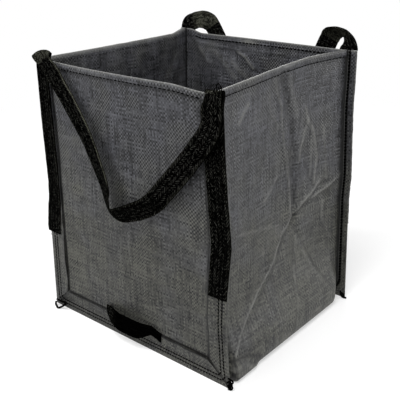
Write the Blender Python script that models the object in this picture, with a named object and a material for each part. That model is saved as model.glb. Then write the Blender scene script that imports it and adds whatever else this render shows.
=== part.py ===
"""Yard tote: a square open bag of woven polypropylene with webbing handles.

Metres, +Z up. The origin lies on the floor under the middle of the bag, and the front
panel, the one with the pull loop at its foot, faces -Y. Every woven piece is laid out as
a flat pattern, folded into place by a function of the bag's shape, and then thickened.
"""

import math

import bmesh
import bpy
from mathutils import Vector

for thing in list(bpy.data.objects):
    bpy.data.objects.remove(thing, do_unlink=True)

# The bag
BAG_WIDTH = 0.381  # between the side walls, at the floor
BAG_DEPTH = 0.352  # between the front and back panels
BAG_HEIGHT = 0.445  # from the base seam up to the rim
FABRIC = 0.001  # one ply of coated cloth, with its slack
SEAM_ALLOWANCE = 0.016  # the fin outside each seam
BORDER = 0.038  # the turned edge round a panel's sides and foot
HEM = 0.012  # the fold round the rim
BASE_CORNER = 0.022  # radius of the strip where wall turns into base
FIN_TURN = 0.003  # radius of the strip where wall turns into fin
GAP = 0.0003  # between pieces that touch
CUT = 0.0009  # between the stretches that one strap is cut into
PLY_STEP = 0.0006  # width of the step at a folded edge

# How the empty bag stands
TOP_INSET = 0.0134  # how much each side draws in by the rim
LEAN_X = -0.0049  # how far the rim leans to the side
LEAN_Y = 0.0056  # how far the rim leans back
FRONT_BULGE = 0.013  # how far the front rim bows out
BACK_BULGE = 0.004  # how far the back rim bows out
BULGE_FOOT = 0.060  # height where the panels start to bow
CREASE_HEIGHT = 0.187  # where the bag's folds cross on each side wall
CREASE_DEPTH = 0.020  # how deep the side walls fold in there
CREASE_FOOT = 0.045  # height where the fold begins
CREASE_OFFSET = 0.046  # how far behind the middle the folds cross
RIM_CREASE_OFFSET = 0.060  # where the fold ends at the rim
RIGHT_RIM_BOW = 0.0155  # how far the right rim bows in
LEFT_RIM_BOW = 0.004  # how far the left rim bows in
BELLY_FADE = 0.085  # height over which the foot of a wall stops bellying out
BASE_RAMP = 0.036  # width over which the base drops from its seam to the floor
FOOT_SQUARENESS = 6  # how square the wall turns into the base: 2 is a round corner

# The webbing
WEBBING_WIDTH = 0.034
WEBBING = 0.0018  # thickness
LEG_FOOT = 0.151  # height of the lower end of a sewn strap
LEFT_FOLD_RADIUS = 0.006  # the front handle's fold over the rim, at its left end
LEFT_FOLD_TILT = 27  # degrees that the fold slants, which turns the strap inward
RIGHT_FOLD_RADIUS = 0.0032
RIGHT_FOLD_TILT = 2
LEFT_AXIS_RISE = 0.020  # height of the front handle's swing axis over the rim, at its ends
RIGHT_AXIS_RISE = 0.007
FRONT_DROP = 0.222  # from the rim to the bottom of the hanging front handle
ARCH_SPAN = 0.052  # between the two feet of a back bend
LEFT_ARCH_RISE = 0.024  # height of its centre line over the rim, at the left end
LEFT_ARCH_TWIST = 25  # degrees that the strap leans back at its top
RIGHT_ARCH_RISE = 0.026  # and at the right end
RIGHT_ARCH_TWIST = -55
ARCH_LIFT = 0.018  # how far a back bend reaches out behind the bag
ARCH_TURN = 148  # degrees that a back bend turns through
BACK_AXIS_RISE = 0.024  # height of the back handle's swing axis over the rim
BACK_DROP = 0.215
HANG_CLEARANCE = 0.004  # between a hanging handle's edge and the panel

# The pull loop
PULL_HALF_LENGTH = 0.064
PULL_TOP = 0.0535  # height of its upper edge
PULL_BOW = 0.012  # how far its middle stands off the panel

# The thread
THREAD_RADIUS = 0.0004
SEAM_ROWS = {"outer": 0.0095, "inner": 0.0158}  # from the panel's edge
SEAM_ROW_CORNER = 0.012  # radius of a row's corners
RIM_ROW = 0.0095  # from the rim down to its row
ROW_END = 0.003  # from a strap's edge to the end of a rim's row
ROW_STEP = 0.0013  # from a strap's end to the thread that climbs onto it

# Worked out from these
PANEL_HALF = BAG_WIDTH / 2 + SEAM_ALLOWANCE
RIM = SEAM_ALLOWANCE + BAG_HEIGHT
BELLY = SEAM_ALLOWANCE - FABRIC  # brings the base down onto the floor
LEG_OUT = 2 * FABRIC + GAP  # a strap's inner face, from a panel's inner face
LEG_MIDDLE = LEG_OUT + WEBBING / 2
LEG_X = PANEL_HALF - WEBBING_WIDTH / 2
FRONT, BACK = -1, 1
STEER = 0.001  # a small step, in metres or radians, that gives a curve's heading

CLOTH_GREY = (0.080, 0.081, 0.084)
STRIP_GREY = (0.098, 0.100, 0.104)
WEBBING_BLACK = (0.008, 0.008, 0.009)
THREAD_BLACK = (0.006, 0.006, 0.006)


def clamp(value, low=0.0, high=1.0):
    return max(low, min(high, value))


def smooth(value):
    value = clamp(value)
    return value * value * (3 - 2 * value)


def spread(start, end, count):
    """count + 1 evenly spaced values from start to end."""
    return [start + (end - start) * i / count for i in range(count + 1)]


# The shape of the standing bag


def settle(x, y, z):
    """The bag narrows and leans a little towards its open rim."""
    share = z / RIM
    drawn_in = TOP_INSET * share * clamp(x / (PANEL_HALF - WEBBING_WIDTH), -1, 1)
    return Vector((x - drawn_in + LEAN_X * share, y + LEAN_Y * share, z))


def bulge(side, x, z):
    depth = FRONT_BULGE if side == FRONT else BACK_BULGE
    rise = clamp((z - BULGE_FOOT) / (RIM - BULGE_FOOT), 0, 1.2)
    return depth * rise * max(0, 1 - (x / PANEL_HALF) ** 2)


def face(side, x, z, out=0.0):
    """How far forward or back a panel's inner face lies, or what stands out of it."""
    return side * (BAG_DEPTH / 2 + bulge(side, x, z) + out)


def on_panel(side, x, z, out):
    return settle(x, face(side, x, z, out), z)


def fold_depth(hand, y, z):
    """How far a side wall folds in: one upright crease above, two that part below it."""
    share = clamp((z - CREASE_HEIGHT) / (RIM - CREASE_HEIGHT))
    middle = CREASE_OFFSET + (RIM_CREASE_OFFSET - CREASE_OFFSET) * share
    reach = BAG_DEPTH / 2 + (middle if y < middle else -middle)
    across = clamp(abs(y - middle) / reach)
    rim_bow = RIGHT_RIM_BOW if hand > 0 else LEFT_RIM_BOW
    depth = CREASE_DEPTH + (rim_bow - CREASE_DEPTH) * share
    upper = 1 - across ** (1.15 + 0.85 * share)
    lower = clamp((z - CREASE_FOOT) / (CREASE_HEIGHT - CREASE_FOOT))
    return depth * min(upper, lower)


def belly(z):
    """How far the strip swells past its seam, at the foot of a wall and in the base."""
    return BELLY * (1 - smooth((z - SEAM_ALLOWANCE - BASE_CORNER) / BELLY_FADE))


def strip_reach(station, y):
    """How far the cloth stands past its seam line: it rests on the floor as a square foot."""
    x, z, nx, nz = station
    inner = BAG_DEPTH / 2 - FIN_TURN
    plateau = smooth((inner - abs(y)) / BASE_RAMP)
    power = FOOT_SQUARENESS
    square = (abs(nx) ** power + abs(nz) ** power) ** (-1 / power)
    swell = (BASE_CORNER + belly(z)) * square - BASE_CORNER
    return plateau * swell - abs(nx) * fold_depth(nx, y, z)


def strip_point(station, share, inset=FIN_TURN, reach=None):
    """A point of the strip's inner face. share runs from the front panel to the back."""
    x, z, nx, nz = station
    front = face(FRONT, x, z) + GAP + inset
    back = face(BACK, x, z) - GAP - inset
    y = front + (back - front) * share
    if reach is None:
        reach = strip_reach(station, y)
    else:
        y += face(FRONT, x + nx * reach, z) - face(FRONT, x, z) if share == 0 else 0
        y += face(BACK, x + nx * reach, z) - face(BACK, x, z) if share == 1 else 0
    return settle(x + nx * reach, y, z + nz * reach)


def wall_station(hand, z):
    return (hand * BAG_WIDTH / 2, z, hand, 0)


def on_wall(hand, share, z, out):
    """A point that stands out of a side wall's inner face, square to the cloth."""
    here = strip_point(wall_station(hand, z), share)
    along = strip_point(wall_station(hand, z), share + 0.01) - here
    up = here - strip_point(wall_station(hand, z - 0.002), share)
    return here + along.cross(up).normalized() * (out * hand)


# Stations that several pieces share, so that their facets lie on each other

HEIGHTS = (
    [0, SEAM_ALLOWANCE, BORDER, BORDER + PLY_STEP]
    + spread(BULGE_FOOT, LEG_FOOT, 3)
    + spread(LEG_FOOT, CREASE_HEIGHT, 2)[1:]
    + spread(CREASE_HEIGHT, RIM - HEM - PLY_STEP, 7)[1:]
    + [RIM - HEM, RIM]
)


def panel_columns():
    edge, fold = PANEL_HALF, PANEL_HALF - BORDER
    half = [edge, edge - SEAM_ALLOWANCE, fold, fold - PLY_STEP]
    middle = spread(fold - PLY_STEP, PLY_STEP - fold, 9)[1:-1]
    return [-x for x in half] + [-x for x in middle] + half[::-1]


# Building blocks


def material(name, colour, roughness):
    finish = bpy.data.materials.new(name)
    finish.use_nodes = True
    shader = finish.node_tree.nodes["Principled BSDF"]
    shader.inputs["Base Color"].default_value = (*colour, 1)
    shader.inputs["Roughness"].default_value = roughness
    shader.inputs["Metallic"].default_value = 0.0
    return finish


def place(name, data, finish, pivot):
    thing = bpy.data.objects.new(name, data)
    thing.data.materials.append(finish)
    thing.location = pivot
    bpy.context.collection.objects.link(thing)
    return thing


def cloth(name, rows, thickness, finish, side=1.0, plies=None, pivot=(0, 0, 0)):
    """Rows of points joined into a sheet and thickened, to twice as much where plies says."""
    sheet = bmesh.new()
    grid = [[sheet.verts.new(point - Vector(pivot)) for point in row] for row in rows]
    for lower, upper in zip(grid, grid[1:]):
        for corner in range(len(lower) - 1):
            after = corner + 1
            sheet.faces.new((lower[corner], lower[after], upper[after], upper[corner]))
    mesh = bpy.data.meshes.new(name)
    sheet.to_mesh(mesh)
    sheet.free()
    mesh.shade_smooth()
    mesh.set_sharp_from_angle(angle=math.radians(40))
    thing = place(name, mesh, finish, pivot)
    thicken = thing.modifiers.new("thickness", "SOLIDIFY")
    thicken.thickness = thickness
    thicken.offset = side
    thicken.use_even_offset = True
    thicken.use_quality_normals = True
    if plies:
        thicken.thickness = 2 * thickness
        group = thing.vertex_groups.new(name="plies")
        flat = [count for row in plies for count in row]
        for count in (1, 2):
            group.add([i for i, own in enumerate(flat) if own == count], count / 2, "REPLACE")
        thicken.vertex_group = group.name
    return thing


def thread(name, points, finish):
    """A row of stitching as one fine bead."""
    data = bpy.data.curves.new(name, "CURVE")
    data.dimensions = "3D"
    data.bevel_depth = THREAD_RADIUS
    data.bevel_resolution = 0
    data.use_fill_caps = True
    spline = data.splines.new("POLY")
    spline.points.add(len(points) - 1)
    for place_in_row, point in zip(spline.points, points):
        place_in_row.co = (*point, 1)
    return place(name, data, finish, (0, 0, 0))


def through(points, leave, arrive, steps):
    """A smooth curve through points of place and twist, steps places to a span.

    It leaves the first point and arrives at the last one in the headings given.
    """
    first = (points[1] - points[0]).xyz.length
    last = (points[-1] - points[-2]).xyz.length
    ends = [points[1] - leave * 2 * first, *points, points[-2] + arrive * 2 * last]
    curve = []
    for before, start, end, after in zip(ends, ends[1:], ends[2:], ends[3:]):
        for i in range(steps):
            t = i / steps
            bend = 2 * before - 5 * start + 4 * end - after
            turn = 3 * start - before - 3 * end + after
            curve.append(start + (t * (end - before) + t * t * bend + t**3 * turn) / 2)
    return curve + [points[-1]]


def ribbon(side, centres, twists):
    """Rows across a strap. A twist of 0 keeps it flat to its panel, 90 stands it on edge.

    The first and the last centre only steer the rows beside them.
    """
    outward = Vector((0, side, 0))
    last = len(centres) - 2
    rows = []
    for i, twist in enumerate(twists, start=1):
        centre = centres[i]
        before = centres[i - 1] if i != last else centre
        after = centres[i + 1] if i != 1 else centre
        along = (after - before).normalized()
        flat = along.cross(outward).normalized() * side
        lifted = (outward - along * outward.dot(along)).normalized()
        angle = math.radians(twist)
        across = flat * math.cos(angle) + lifted * math.sin(angle)
        rows.append([centre + across * (WEBBING_WIDTH / 2 * s) for s in (-1, 0, 1)])
    return rows


# The pieces


def panel(name, side):
    """A front or back panel, its edge turned over as a border and its top as a hem."""
    columns = panel_columns()[:: -side]
    fold = PANEL_HALF - BORDER
    rows = [[on_panel(side, x, z, 0) for x in columns] for z in HEIGHTS]
    plies = [
        [2 if abs(x) >= fold or z <= BORDER or z >= RIM - HEM else 1 for x in columns]
        for z in HEIGHTS
    ]
    cloth(name, rows, FABRIC, material(name, CLOTH_GREY, 0.55), plies=plies)


def seam_path():
    """Stations down the left wall, along the base and up the right: place and outward way."""
    low = SEAM_ALLOWANCE + BASE_CORNER
    right = [wall_station(1, z) for z in HEIGHTS if z > low]
    corner = []
    for angle in spread(-math.pi / 2, 0, 5):
        nx, nz = math.cos(angle), math.sin(angle)
        x = BAG_WIDTH / 2 + BASE_CORNER * (nx - 1)
        corner.append((x, low + BASE_CORNER * nz, nx, nz))
    start = corner[0][0]
    base = [(x, SEAM_ALLOWANCE, 0, -1) for x in spread(-start, start, 8)[1:-1]]
    half = corner + right
    return [(-x, z, -nx, nz) for x, z, nx, nz in half[::-1]] + base + half


def side_strip():
    """Left wall, base and right wall in one strip, its edges turned out into the fins."""
    turn = [
        (reach, FIN_TURN - math.sqrt(FIN_TURN**2 - (FIN_TURN - reach) ** 2))
        for reach in (FIN_TURN, FIN_TURN * 0.35, 0)
    ]
    fin = [(SEAM_ALLOWANCE, 0), (SEAM_ALLOWANCE / 2, 0)] + turn[:-1]
    rows, plies = [], []
    for station in seam_path():
        row = [strip_point(station, 0, inset, reach) for reach, inset in fin]
        row += [strip_point(station, share) for share in spread(0, 1, 16)]
        row += [strip_point(station, 1, inset, reach) for reach, inset in fin[::-1]]
        rows.append(row)
        plies.append([2 if station[1] >= RIM - HEM else 1] * len(row))
    cloth("side_strip", rows, FABRIC, material("side_strip", STRIP_GREY, 0.5), plies=plies)


def leg(name, side, hand):
    """The sewn stretch of a handle, flush with the fin's outer edge."""
    heights = [z for z in HEIGHTS if z > LEG_FOOT - GAP]
    across = spread(PANEL_HALF - WEBBING_WIDTH, PANEL_HALF, 2)
    columns = sorted((hand * x for x in across), reverse=side == BACK)
    rows = [[on_panel(side, x, z, LEG_OUT) for x in columns] for z in heights]
    cloth(name, rows, WEBBING, material(name, WEBBING_BLACK, 0.75))


def leg_lean(side):
    """The angle between a sewn strap's top and the line between the two fins."""
    inner, outer = (bulge(side, LEG_X - WEBBING_WIDTH * s, RIM) for s in (0.5, -0.5))
    return math.degrees(math.atan2(inner - outer, WEBBING_WIDTH))


def front_fold(radius, tilt):
    """How a strap wraps over a slanting round edge, for either end of the front handle.

    Returns a function from a place on the flat strap (across it, and on from the rim) to
    its place beside, above and out of the sewn leg, and where the wrap has ended.
    """
    angle = math.radians(tilt)
    cos, sin = math.cos(angle), math.sin(angle)
    foot = WEBBING_WIDTH / 2 * sin + CUT
    wrapped = foot + math.pi * radius

    def wrap(across, on):
        along_edge = across * cos + on * sin
        over_edge = on * cos - across * sin
        turned = clamp((over_edge - foot) / radius, 0, math.pi)
        height = min(over_edge, foot) + radius * math.sin(turned)
        height -= max(0, over_edge - wrapped)
        out = radius * (1 - math.cos(turned))
        return along_edge * cos - height * sin, along_edge * sin + height * cos, out

    return wrap, (wrapped + WEBBING_WIDTH / 2 * sin) / cos


def front_bend(name, hand, radius, tilt, pivot):
    """The front handle's fold over the rim. Returns where the loop takes over, and its way."""
    wrap, end = front_fold(radius, tilt)
    rows = []
    for on in spread(CUT, end, 14):
        row = []
        for across in (-WEBBING_WIDTH / 2, 0, WEBBING_WIDTH / 2):
            beside, above, out = wrap(across, on)
            x = hand * (LEG_X - beside)
            row.append(on_panel(FRONT, x, RIM + above, LEG_MIDDLE + out))
        rows.append(row)
    cloth(name, rows, WEBBING, material(name, WEBBING_BLACK, 0.75), 0, pivot=pivot)
    (x0, z0, out), (x1, z1, out) = wrap(0, end), wrap(0, end + CUT)
    start = Vector((LEG_X - x1, RIM + z1, LEG_MIDDLE + out, leg_lean(FRONT)))
    return start, Vector((x0 - x1, z1 - z0, 0, 0)).normalized()


def back_bend(name, hand, rise, twist, pivot):
    """The back handle's arch over the rim. Returns where the loop takes over, and its way."""

    def arch(angle):
        way = (1 - math.cos(angle)) / 2
        up = CUT + rise * math.sin(angle)
        lean = twist * math.sin(angle) ** 2 - leg_lean(BACK) * math.cos(angle)
        return Vector((LEG_X - ARCH_SPAN * way, RIM + up, LEG_MIDDLE + ARCH_LIFT * way, lean))

    end = math.radians(ARCH_TURN)
    points = [arch(angle) for angle in spread(0, end, 16)]
    steered = [arch(-STEER), *points, arch(end + STEER)]
    centres = [on_panel(BACK, hand * x, z, out) for x, z, out, lean in steered]
    rows = ribbon(BACK, centres, [-hand * point[3] for point in points])
    cloth(name, rows, WEBBING, material(name, WEBBING_BLACK, 0.75), 0, pivot=pivot)
    way = arch(end + STEER) - arch(end)
    way = Vector((*way.xyz.normalized(), 0))
    return arch(end) + way * CUT, way


# A route point gives the share of the legs' half span, the share of the drop from the
# rim, and the strap's twist.
FRONT_ROUTE = [
    (-0.655, 0.190, 2),
    (-0.460, 0.374, 4),
    (-0.335, 0.509, 9),
    (-0.165, 0.779, 18),
    (-0.095, 0.895, 30),
    (-0.005, 0.968, 56),
    (0.105, 0.966, 56),
    (0.250, 0.905, 40),
    (0.410, 0.822, 23),
    (0.555, 0.690, 8),
    (0.725, 0.530, 2),
    (0.875, 0.375, 0),
    (0.975, 0.255, 0),
    (1.020, 0.150, 2),
]
BACK_ROUTE = [
    (-0.46, 0.40, 30),
    (-0.26, 0.74, 55),
    (-0.09, 0.96, 72),
    (0.09, 0.96, 72),
    (0.26, 0.74, 55),
    (0.46, 0.40, 30),
]


def handle_loop(name, side, left, right, drop, route, pivot):
    """The free loop, hanging outside its panel between its two bends."""
    (start, leave), (end, arrive) = left, right
    points = [Vector((-start.x, *start[1:]))]
    for across, down, twist in route:
        edge = math.sin(math.radians(twist)) * WEBBING_WIDTH / 2
        out = LEG_OUT + 2 * WEBBING + HANG_CLEARANCE + edge
        points.append(Vector((across * LEG_X, RIM - down * drop, out, twist)))
    points.append(end)
    leave = Vector((-leave.x, *leave[1:]))
    curve = through(points, leave, -arrive, 5)
    steered = [curve[0] - leave * STEER, *curve, curve[-1] - arrive * STEER]
    centres = [on_panel(side, x, z, out) for x, z, out, twist in steered]
    rows = ribbon(side, centres, [point[3] for point in curve])
    cloth(name, rows, WEBBING, material(name, WEBBING_BLACK, 0.75), 0, pivot=pivot)


def front_handle():
    out = LEG_MIDDLE + LEFT_FOLD_RADIUS
    rise = (LEFT_AXIS_RISE + RIGHT_AXIS_RISE) / 2
    pivot = settle(0, face(FRONT, LEG_X, RIM, out), RIM + rise)
    leg("front_left_leg", FRONT, -1)
    leg("front_right_leg", FRONT, 1)
    left = front_bend("front_left_bend", -1, LEFT_FOLD_RADIUS, LEFT_FOLD_TILT, pivot)
    right = front_bend("front_right_bend", 1, RIGHT_FOLD_RADIUS, RIGHT_FOLD_TILT, pivot)
    handle_loop("front_handle_loop", FRONT, left, right, FRONT_DROP, FRONT_ROUTE, pivot)


def back_handle():
    out = LEG_MIDDLE + ARCH_LIFT / 2
    pivot = settle(0, face(BACK, LEG_X, RIM, out), RIM + BACK_AXIS_RISE)
    leg("back_left_leg", BACK, -1)
    leg("back_right_leg", BACK, 1)
    left = back_bend("back_left_bend", -1, LEFT_ARCH_RISE, LEFT_ARCH_TWIST, pivot)
    right = back_bend("back_right_bend", 1, RIGHT_ARCH_RISE, RIGHT_ARCH_TWIST, pivot)
    handle_loop("back_handle_loop", BACK, left, right, BACK_DROP, BACK_ROUTE, pivot)


def pull_loop():
    """The short loop at the foot of the front panel, held at both ends of its upper edge."""
    rows = []
    for share in spread(-1, 1, 20):
        x = share * PULL_HALF_LENGTH
        off = PULL_BOW * smooth(1.35 * (1 - abs(share)))
        top = on_panel(FRONT, x, PULL_TOP, LEG_MIDDLE + off)
        foot = on_panel(FRONT, x, PULL_TOP - WEBBING_WIDTH, LEG_MIDDLE + off)
        rows.append([foot, (foot + top) / 2, top])
    pivot = on_panel(FRONT, 0, PULL_TOP, LEG_MIDDLE)
    finish = material("pull_loop", WEBBING_BLACK, 0.75)
    cloth("pull_loop", rows, WEBBING, finish, 0, pivot=pivot)


def seam_row(name, side, inset):
    """One row of stitching down a fin, along the foot and up the other fin."""
    low = 2 * FABRIC + GAP + THREAD_RADIUS
    high = LEG_OUT + WEBBING + GAP + THREAD_RADIUS
    edge = PANEL_HALF - inset
    turn = inset + SEAM_ROW_CORNER
    climb = LEG_FOOT - ROW_STEP
    half = []
    for angle in spread(-math.pi / 2, 0, 4):
        x = edge - SEAM_ROW_CORNER * (1 - math.cos(angle))
        half.append((x, turn + SEAM_ROW_CORNER * math.sin(angle), low))
    half += [(edge, z, low) for z in HEIGHTS if turn < z < climb]
    half += [(edge, climb, low), (edge, climb, high)]
    half += [(edge, z, high) for z in HEIGHTS if LEG_FOOT - GAP < z < RIM]
    half.append((edge, RIM - THREAD_RADIUS, high))
    path = [(-x, z, out) for x, z, out in half[::-1]] + half
    thread(name, [on_panel(side, *point) for point in path], material(name, THREAD_BLACK, 0.8))


def rim_rows():
    """The row that holds each hem, between the straps and along the side walls."""
    out = 2 * FABRIC + GAP + THREAD_RADIUS
    end = PANEL_HALF - WEBBING_WIDTH - ROW_END
    inside = [x for x in panel_columns() if abs(x) < end]
    for name, side in (("front_rim_seam", FRONT), ("back_rim_seam", BACK)):
        row = [on_panel(side, x, RIM - RIM_ROW, out) for x in [-end, *inside, end]]
        thread(name, row, material(name, THREAD_BLACK, 0.8))
    for name, hand in (("left_rim_seam", -1), ("right_rim_seam", 1)):
        shares = spread(0, 1, 16)[1:-1]
        row = [on_wall(hand, share, RIM - RIM_ROW, out) for share in shares]
        thread(name, row, material(name, THREAD_BLACK, 0.8))


panel("front_panel", FRONT)
panel("back_panel", BACK)
side_strip()
front_handle()
back_handle()
pull_loop()
for row_name, row_inset in SEAM_ROWS.items():
    seam_row(f"front_{row_name}_seam", FRONT, row_inset)
    seam_row(f"back_{row_name}_seam", BACK, row_inset)
rim_rows()
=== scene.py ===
import functools
import math

import bmesh
import bpy
import numpy as np
from mathutils import Matrix, Vector


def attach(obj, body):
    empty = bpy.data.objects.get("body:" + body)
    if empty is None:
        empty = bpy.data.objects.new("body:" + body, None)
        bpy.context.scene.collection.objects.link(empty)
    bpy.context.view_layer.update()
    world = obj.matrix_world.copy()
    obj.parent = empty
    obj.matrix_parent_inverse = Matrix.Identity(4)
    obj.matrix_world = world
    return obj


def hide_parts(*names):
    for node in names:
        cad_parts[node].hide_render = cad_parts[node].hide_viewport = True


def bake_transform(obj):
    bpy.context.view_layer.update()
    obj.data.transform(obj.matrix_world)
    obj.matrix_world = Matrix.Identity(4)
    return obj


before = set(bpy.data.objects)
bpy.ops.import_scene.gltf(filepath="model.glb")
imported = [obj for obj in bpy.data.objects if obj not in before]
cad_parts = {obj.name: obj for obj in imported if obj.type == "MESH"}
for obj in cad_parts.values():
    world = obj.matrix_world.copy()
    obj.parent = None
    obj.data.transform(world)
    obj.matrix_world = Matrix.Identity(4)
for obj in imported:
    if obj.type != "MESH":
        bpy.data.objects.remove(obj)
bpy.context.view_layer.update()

# Yard tote: an open bag of woven plastic cloth with webbing handles. Metres, +Z up, front towards -Y.

front, back = -1, 1
sides = {"front": front, "back": back}
hands = {"left": -1, "right": 1}
print("frame loaded:", len(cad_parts), "CAD nodes")


# small helpers


def smooth(value):
    value = np.clip(value, 0, 1)
    return value * value * (3 - 2 * value)


def rising(value, start, reach):
    # from 0 at start to 1 at start + reach, which may lie below it
    return smooth((value - start) / reach)


def ridge(distance, width):
    return np.exp(-(np.asarray(distance) / width) ** 2)


def ridges(distance, table):
    # table: height, place and width of each
    return sum(height * ridge(distance - place, width) for height, place, width in table)


def strongest(layers):
    return functools.reduce(np.maximum, layers)


def unit(vectors):
    return vectors / np.linalg.norm(vectors, axis=-1, keepdims=True)


def evenly(start, end, step):
    # values from start to end, about step apart
    return list(np.linspace(start, end, max(1, round(abs(end - start) / step)) + 1))


def along(u, table):
    # reads a table of (place, value) pairs given in millimetres
    places, values = zip(*sorted(table))
    return np.interp(np.asarray(u) * 1000, places, values) / 1000


def paired(u, v):
    return np.stack(np.broadcast_arrays(u, v), axis=-1)


def lengthAlong(points):
    # distance from the first of a row of points to each of them
    return np.concatenate([[0], np.cumsum(np.linalg.norm(np.diff(points, axis=0), axis=1))])


cloudLattice = np.random.default_rng(7).random((8, 64, 64)) * 2 - 1


def cloudy(u, v, size, kind=0):
    # soft noise from -1 to 1, with lumps of about that size
    u, v = np.broadcast_arrays(np.asarray(u, float) / size, np.asarray(v, float) / size)
    i, j = np.floor(u).astype(int), np.floor(v).astype(int)
    du, dv = smooth(u - i), smooth(v - j)
    at = lambda a, b: cloudLattice[kind, (i + a) % 64, (j + b) % 64]
    low = at(0, 0) * (1 - du) + at(1, 0) * du
    high = at(0, 1) * (1 - du) + at(1, 1) * du
    return low * (1 - dv) + high * dv


def wavy(u, v, waves):
    # waves: (height, size of the lumps, shift of u, stretch of v, kind of noise)
    return sum(height * cloudy(u + shift, v * stretch, size, kind)
               for height, size, shift, stretch, kind in waves)


def addObject(name, data):
    made = bpy.data.objects.new(name, data)
    bpy.context.scene.collection.objects.link(made)
    return made


# camera

viewpoint = {
    "azimuth": 40.242,  # degrees
    "elevation": 22.286,
    "roll": 0.761,
    "distance": 1.22257,
    "target": (-0.00044, 0, 0.20444),
    "lens": 61.85,  # mm, on a 36 mm sensor
}


def addCamera():
    turn, rise, roll = (math.radians(viewpoint[key]) for key in ("azimuth", "elevation", "roll"))
    towards = Vector((math.sin(turn) * math.cos(rise), -math.cos(turn) * math.cos(rise), math.sin(rise)))
    right = Vector((math.cos(turn), math.sin(turn), 0))
    up = towards.cross(right)
    rolledRight = right * math.cos(roll) - up * math.sin(roll)
    rolledUp = right * math.sin(roll) + up * math.cos(roll)
    place = Matrix((rolledRight, rolledUp, towards)).transposed().to_4x4()
    place.translation = Vector(viewpoint["target"]) + towards * viewpoint["distance"]
    data = bpy.data.cameras.new("camera")
    data.lens = viewpoint["lens"]
    data.sensor_width = 36
    data.clip_end = 60
    camera = addObject("camera", data)
    camera.matrix_world = place
    bpy.context.scene.camera = camera


addCamera()
print("camera set")


# the bag's shape, as the CAD has it, with the photo's folds on top

bag = {
    "width": 0.381,
    "depth": 0.352,
    "height": 0.445,
    "fin": 0.016,  # seam allowance, turned outward
    "border": 0.038,  # turned edge of a panel
    "hem": 0.012,
    "baseCorner": 0.022,
    "finTurn": 0.003,
    "room": 0.001,  # one ply in the CAD
    "gap": 0.0003,
    "floorGap": 0.0006,
}
stance = {
    "topInset": 0.0134,
    "leanX": -0.0049,
    "leanY": 0.0056,
    "bulge": {front: 0.013, back: 0.004},
    "bulgeFoot": 0.060,
    "creaseHeight": 0.187,
    "creaseDepth": 0.020,
    "creaseFoot": 0.045,
    "rimCreaseOffset": 0.060,
    "rimBow": {"right": 0.0155, "left": 0.004},
    "bellyFade": 0.085,
    "baseRamp": 0.036,
    "cornerRamp": 0.016,  # the same by the front right foot, which is fuller
    "footSquareness": 6,
}
webbing = {"width": 0.034, "thickness": 0.0018}
legFoot = 0.151
stitching = {
    "finPitch": 0.0055,
    "rimPitch": 0.008,
    "thread": 0.00105,
    "looper": {front: 0.0006, back: 0.00095},  # on the strip's side of the seams
    "rows": {"outer": 0.0095, "inner": 0.0158},  # from the panel's edge
    "stripRows": {"outer": 0.0108, "inner": 0.0130},
    "rowCorner": 0.012,
    "rimRow": 0.0095,
    "rowEnd": 0.003,
    "rowStep": 0.0013,
    "rowSteps": 0.004,  # between points of a row
}
half = bag["width"] / 2 + bag["fin"]
halfDepth = bag["depth"] / 2
rim = bag["fin"] + bag["height"]
legInner = 2 * bag["room"] + bag["gap"]

# how far each upright fin strays sideways, by height, in mm
finStray = {
    (front, 1): [(461, -1.1), (422, 0), (367, 0.7), (312, 3.2), (252, 6.9), (237, 7.5),
                 (220, 5.3), (157, -2.7), (106, -5.9), (34, -4), (0, 0.9)],
    (front, -1): [(461, -2), (447, -3.7), (350, -1), (248, 3.5), (200, 1), (155, -0.3), (5, -1.1)],
    (back, 1): [(461, 2.4), (413, 1.7), (368, -0.3), (240, 1.5), (200, -1), (1, -0.3)],
    (back, -1): [(461, 0), (300, 2), (150, -2), (0, 0)],
}
# starts and reaches of what fades in across the bag
strayFade = {"x": (0.09, half - 0.10), "y": (0.06, 0.11)}
cornerLift = {"height": 0.0065, "x": (0.15, 0.035), "y": (0.13, 0.035), "z": (0.350, rim - 0.350),
              "above": (rim + 0.004, 0.020)}  # back left corner of the rim
cornerDip = {"depth": 0.0058, "x": (0.11, 0.07), "y": (0.10, -0.26),
             "z": (0.300, rim - 0.300)}  # the right wall's rim, towards the front
panelCalm = {"seam": (0.010, 0.05), "foot": (0.03, 0.05), "rim": (0, 0.05), "atRim": 0.25}
wallCalm = {"seam": (0.006, 0.04), "foot": (0.05, 0.05), "rim": (0, 0.04), "atRim": 0.2}
panelWaves = {side: [(0.0026, 0.115, 0, 1, kind), (0.0013, 0.043, 0.3, 0.6, 2), (0.0005, 0.017, 0, 1, 3)]
              for side, kind in ((front, 0), (back, 1))}
wallWaves = [(0.0020, 0.085, 0, 1, 4), (0.0013, 0.024, 0, 0.35, 5), (0.0005, 0.011, 0, 0.5, 6)]
# dents beside the stitches: height, place and width
seamDents = [(0.0006, row, 0.0015) for row in stitching["rows"].values()]
rimDent = [(0.0004, stitching["rimRow"], 0.0013)]
# the upright crease of a wall, with a hollow beside it
pinch = {"height": 0.0046, "from": 0.15, "reach": 0.32, "ridges": [(1, 0, 0.0085), (-0.5, -0.019, 0.009)]}
footLip = {"height": 0.0042, "top": 0.037, "middle": -0.164, "round": 3.0, "edge": -0.005,
           "y": (-0.06, -0.03), "seam": (0.001, 0.012)}  # slack cloth of the right wall over its front foot
# folds left from packing: across the front at mid-height, and the same line on the walls
panelFold = [(-206, 250), (-160, 248.5), (-71, 244), (8, 239), (87, 236), (157, 231), (206, 229)]
wallFold = [(-176, 249), (-142, 245), (-99, 234), (38, 207), (177, 237)]
panelPacking = [(0.0013, 0, 0.0045), (0.0018, 0, 0.030)]
wallPacking = [(0.0006, 0, 0.0045), (-0.0006, -0.014, 0.010)]
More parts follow.
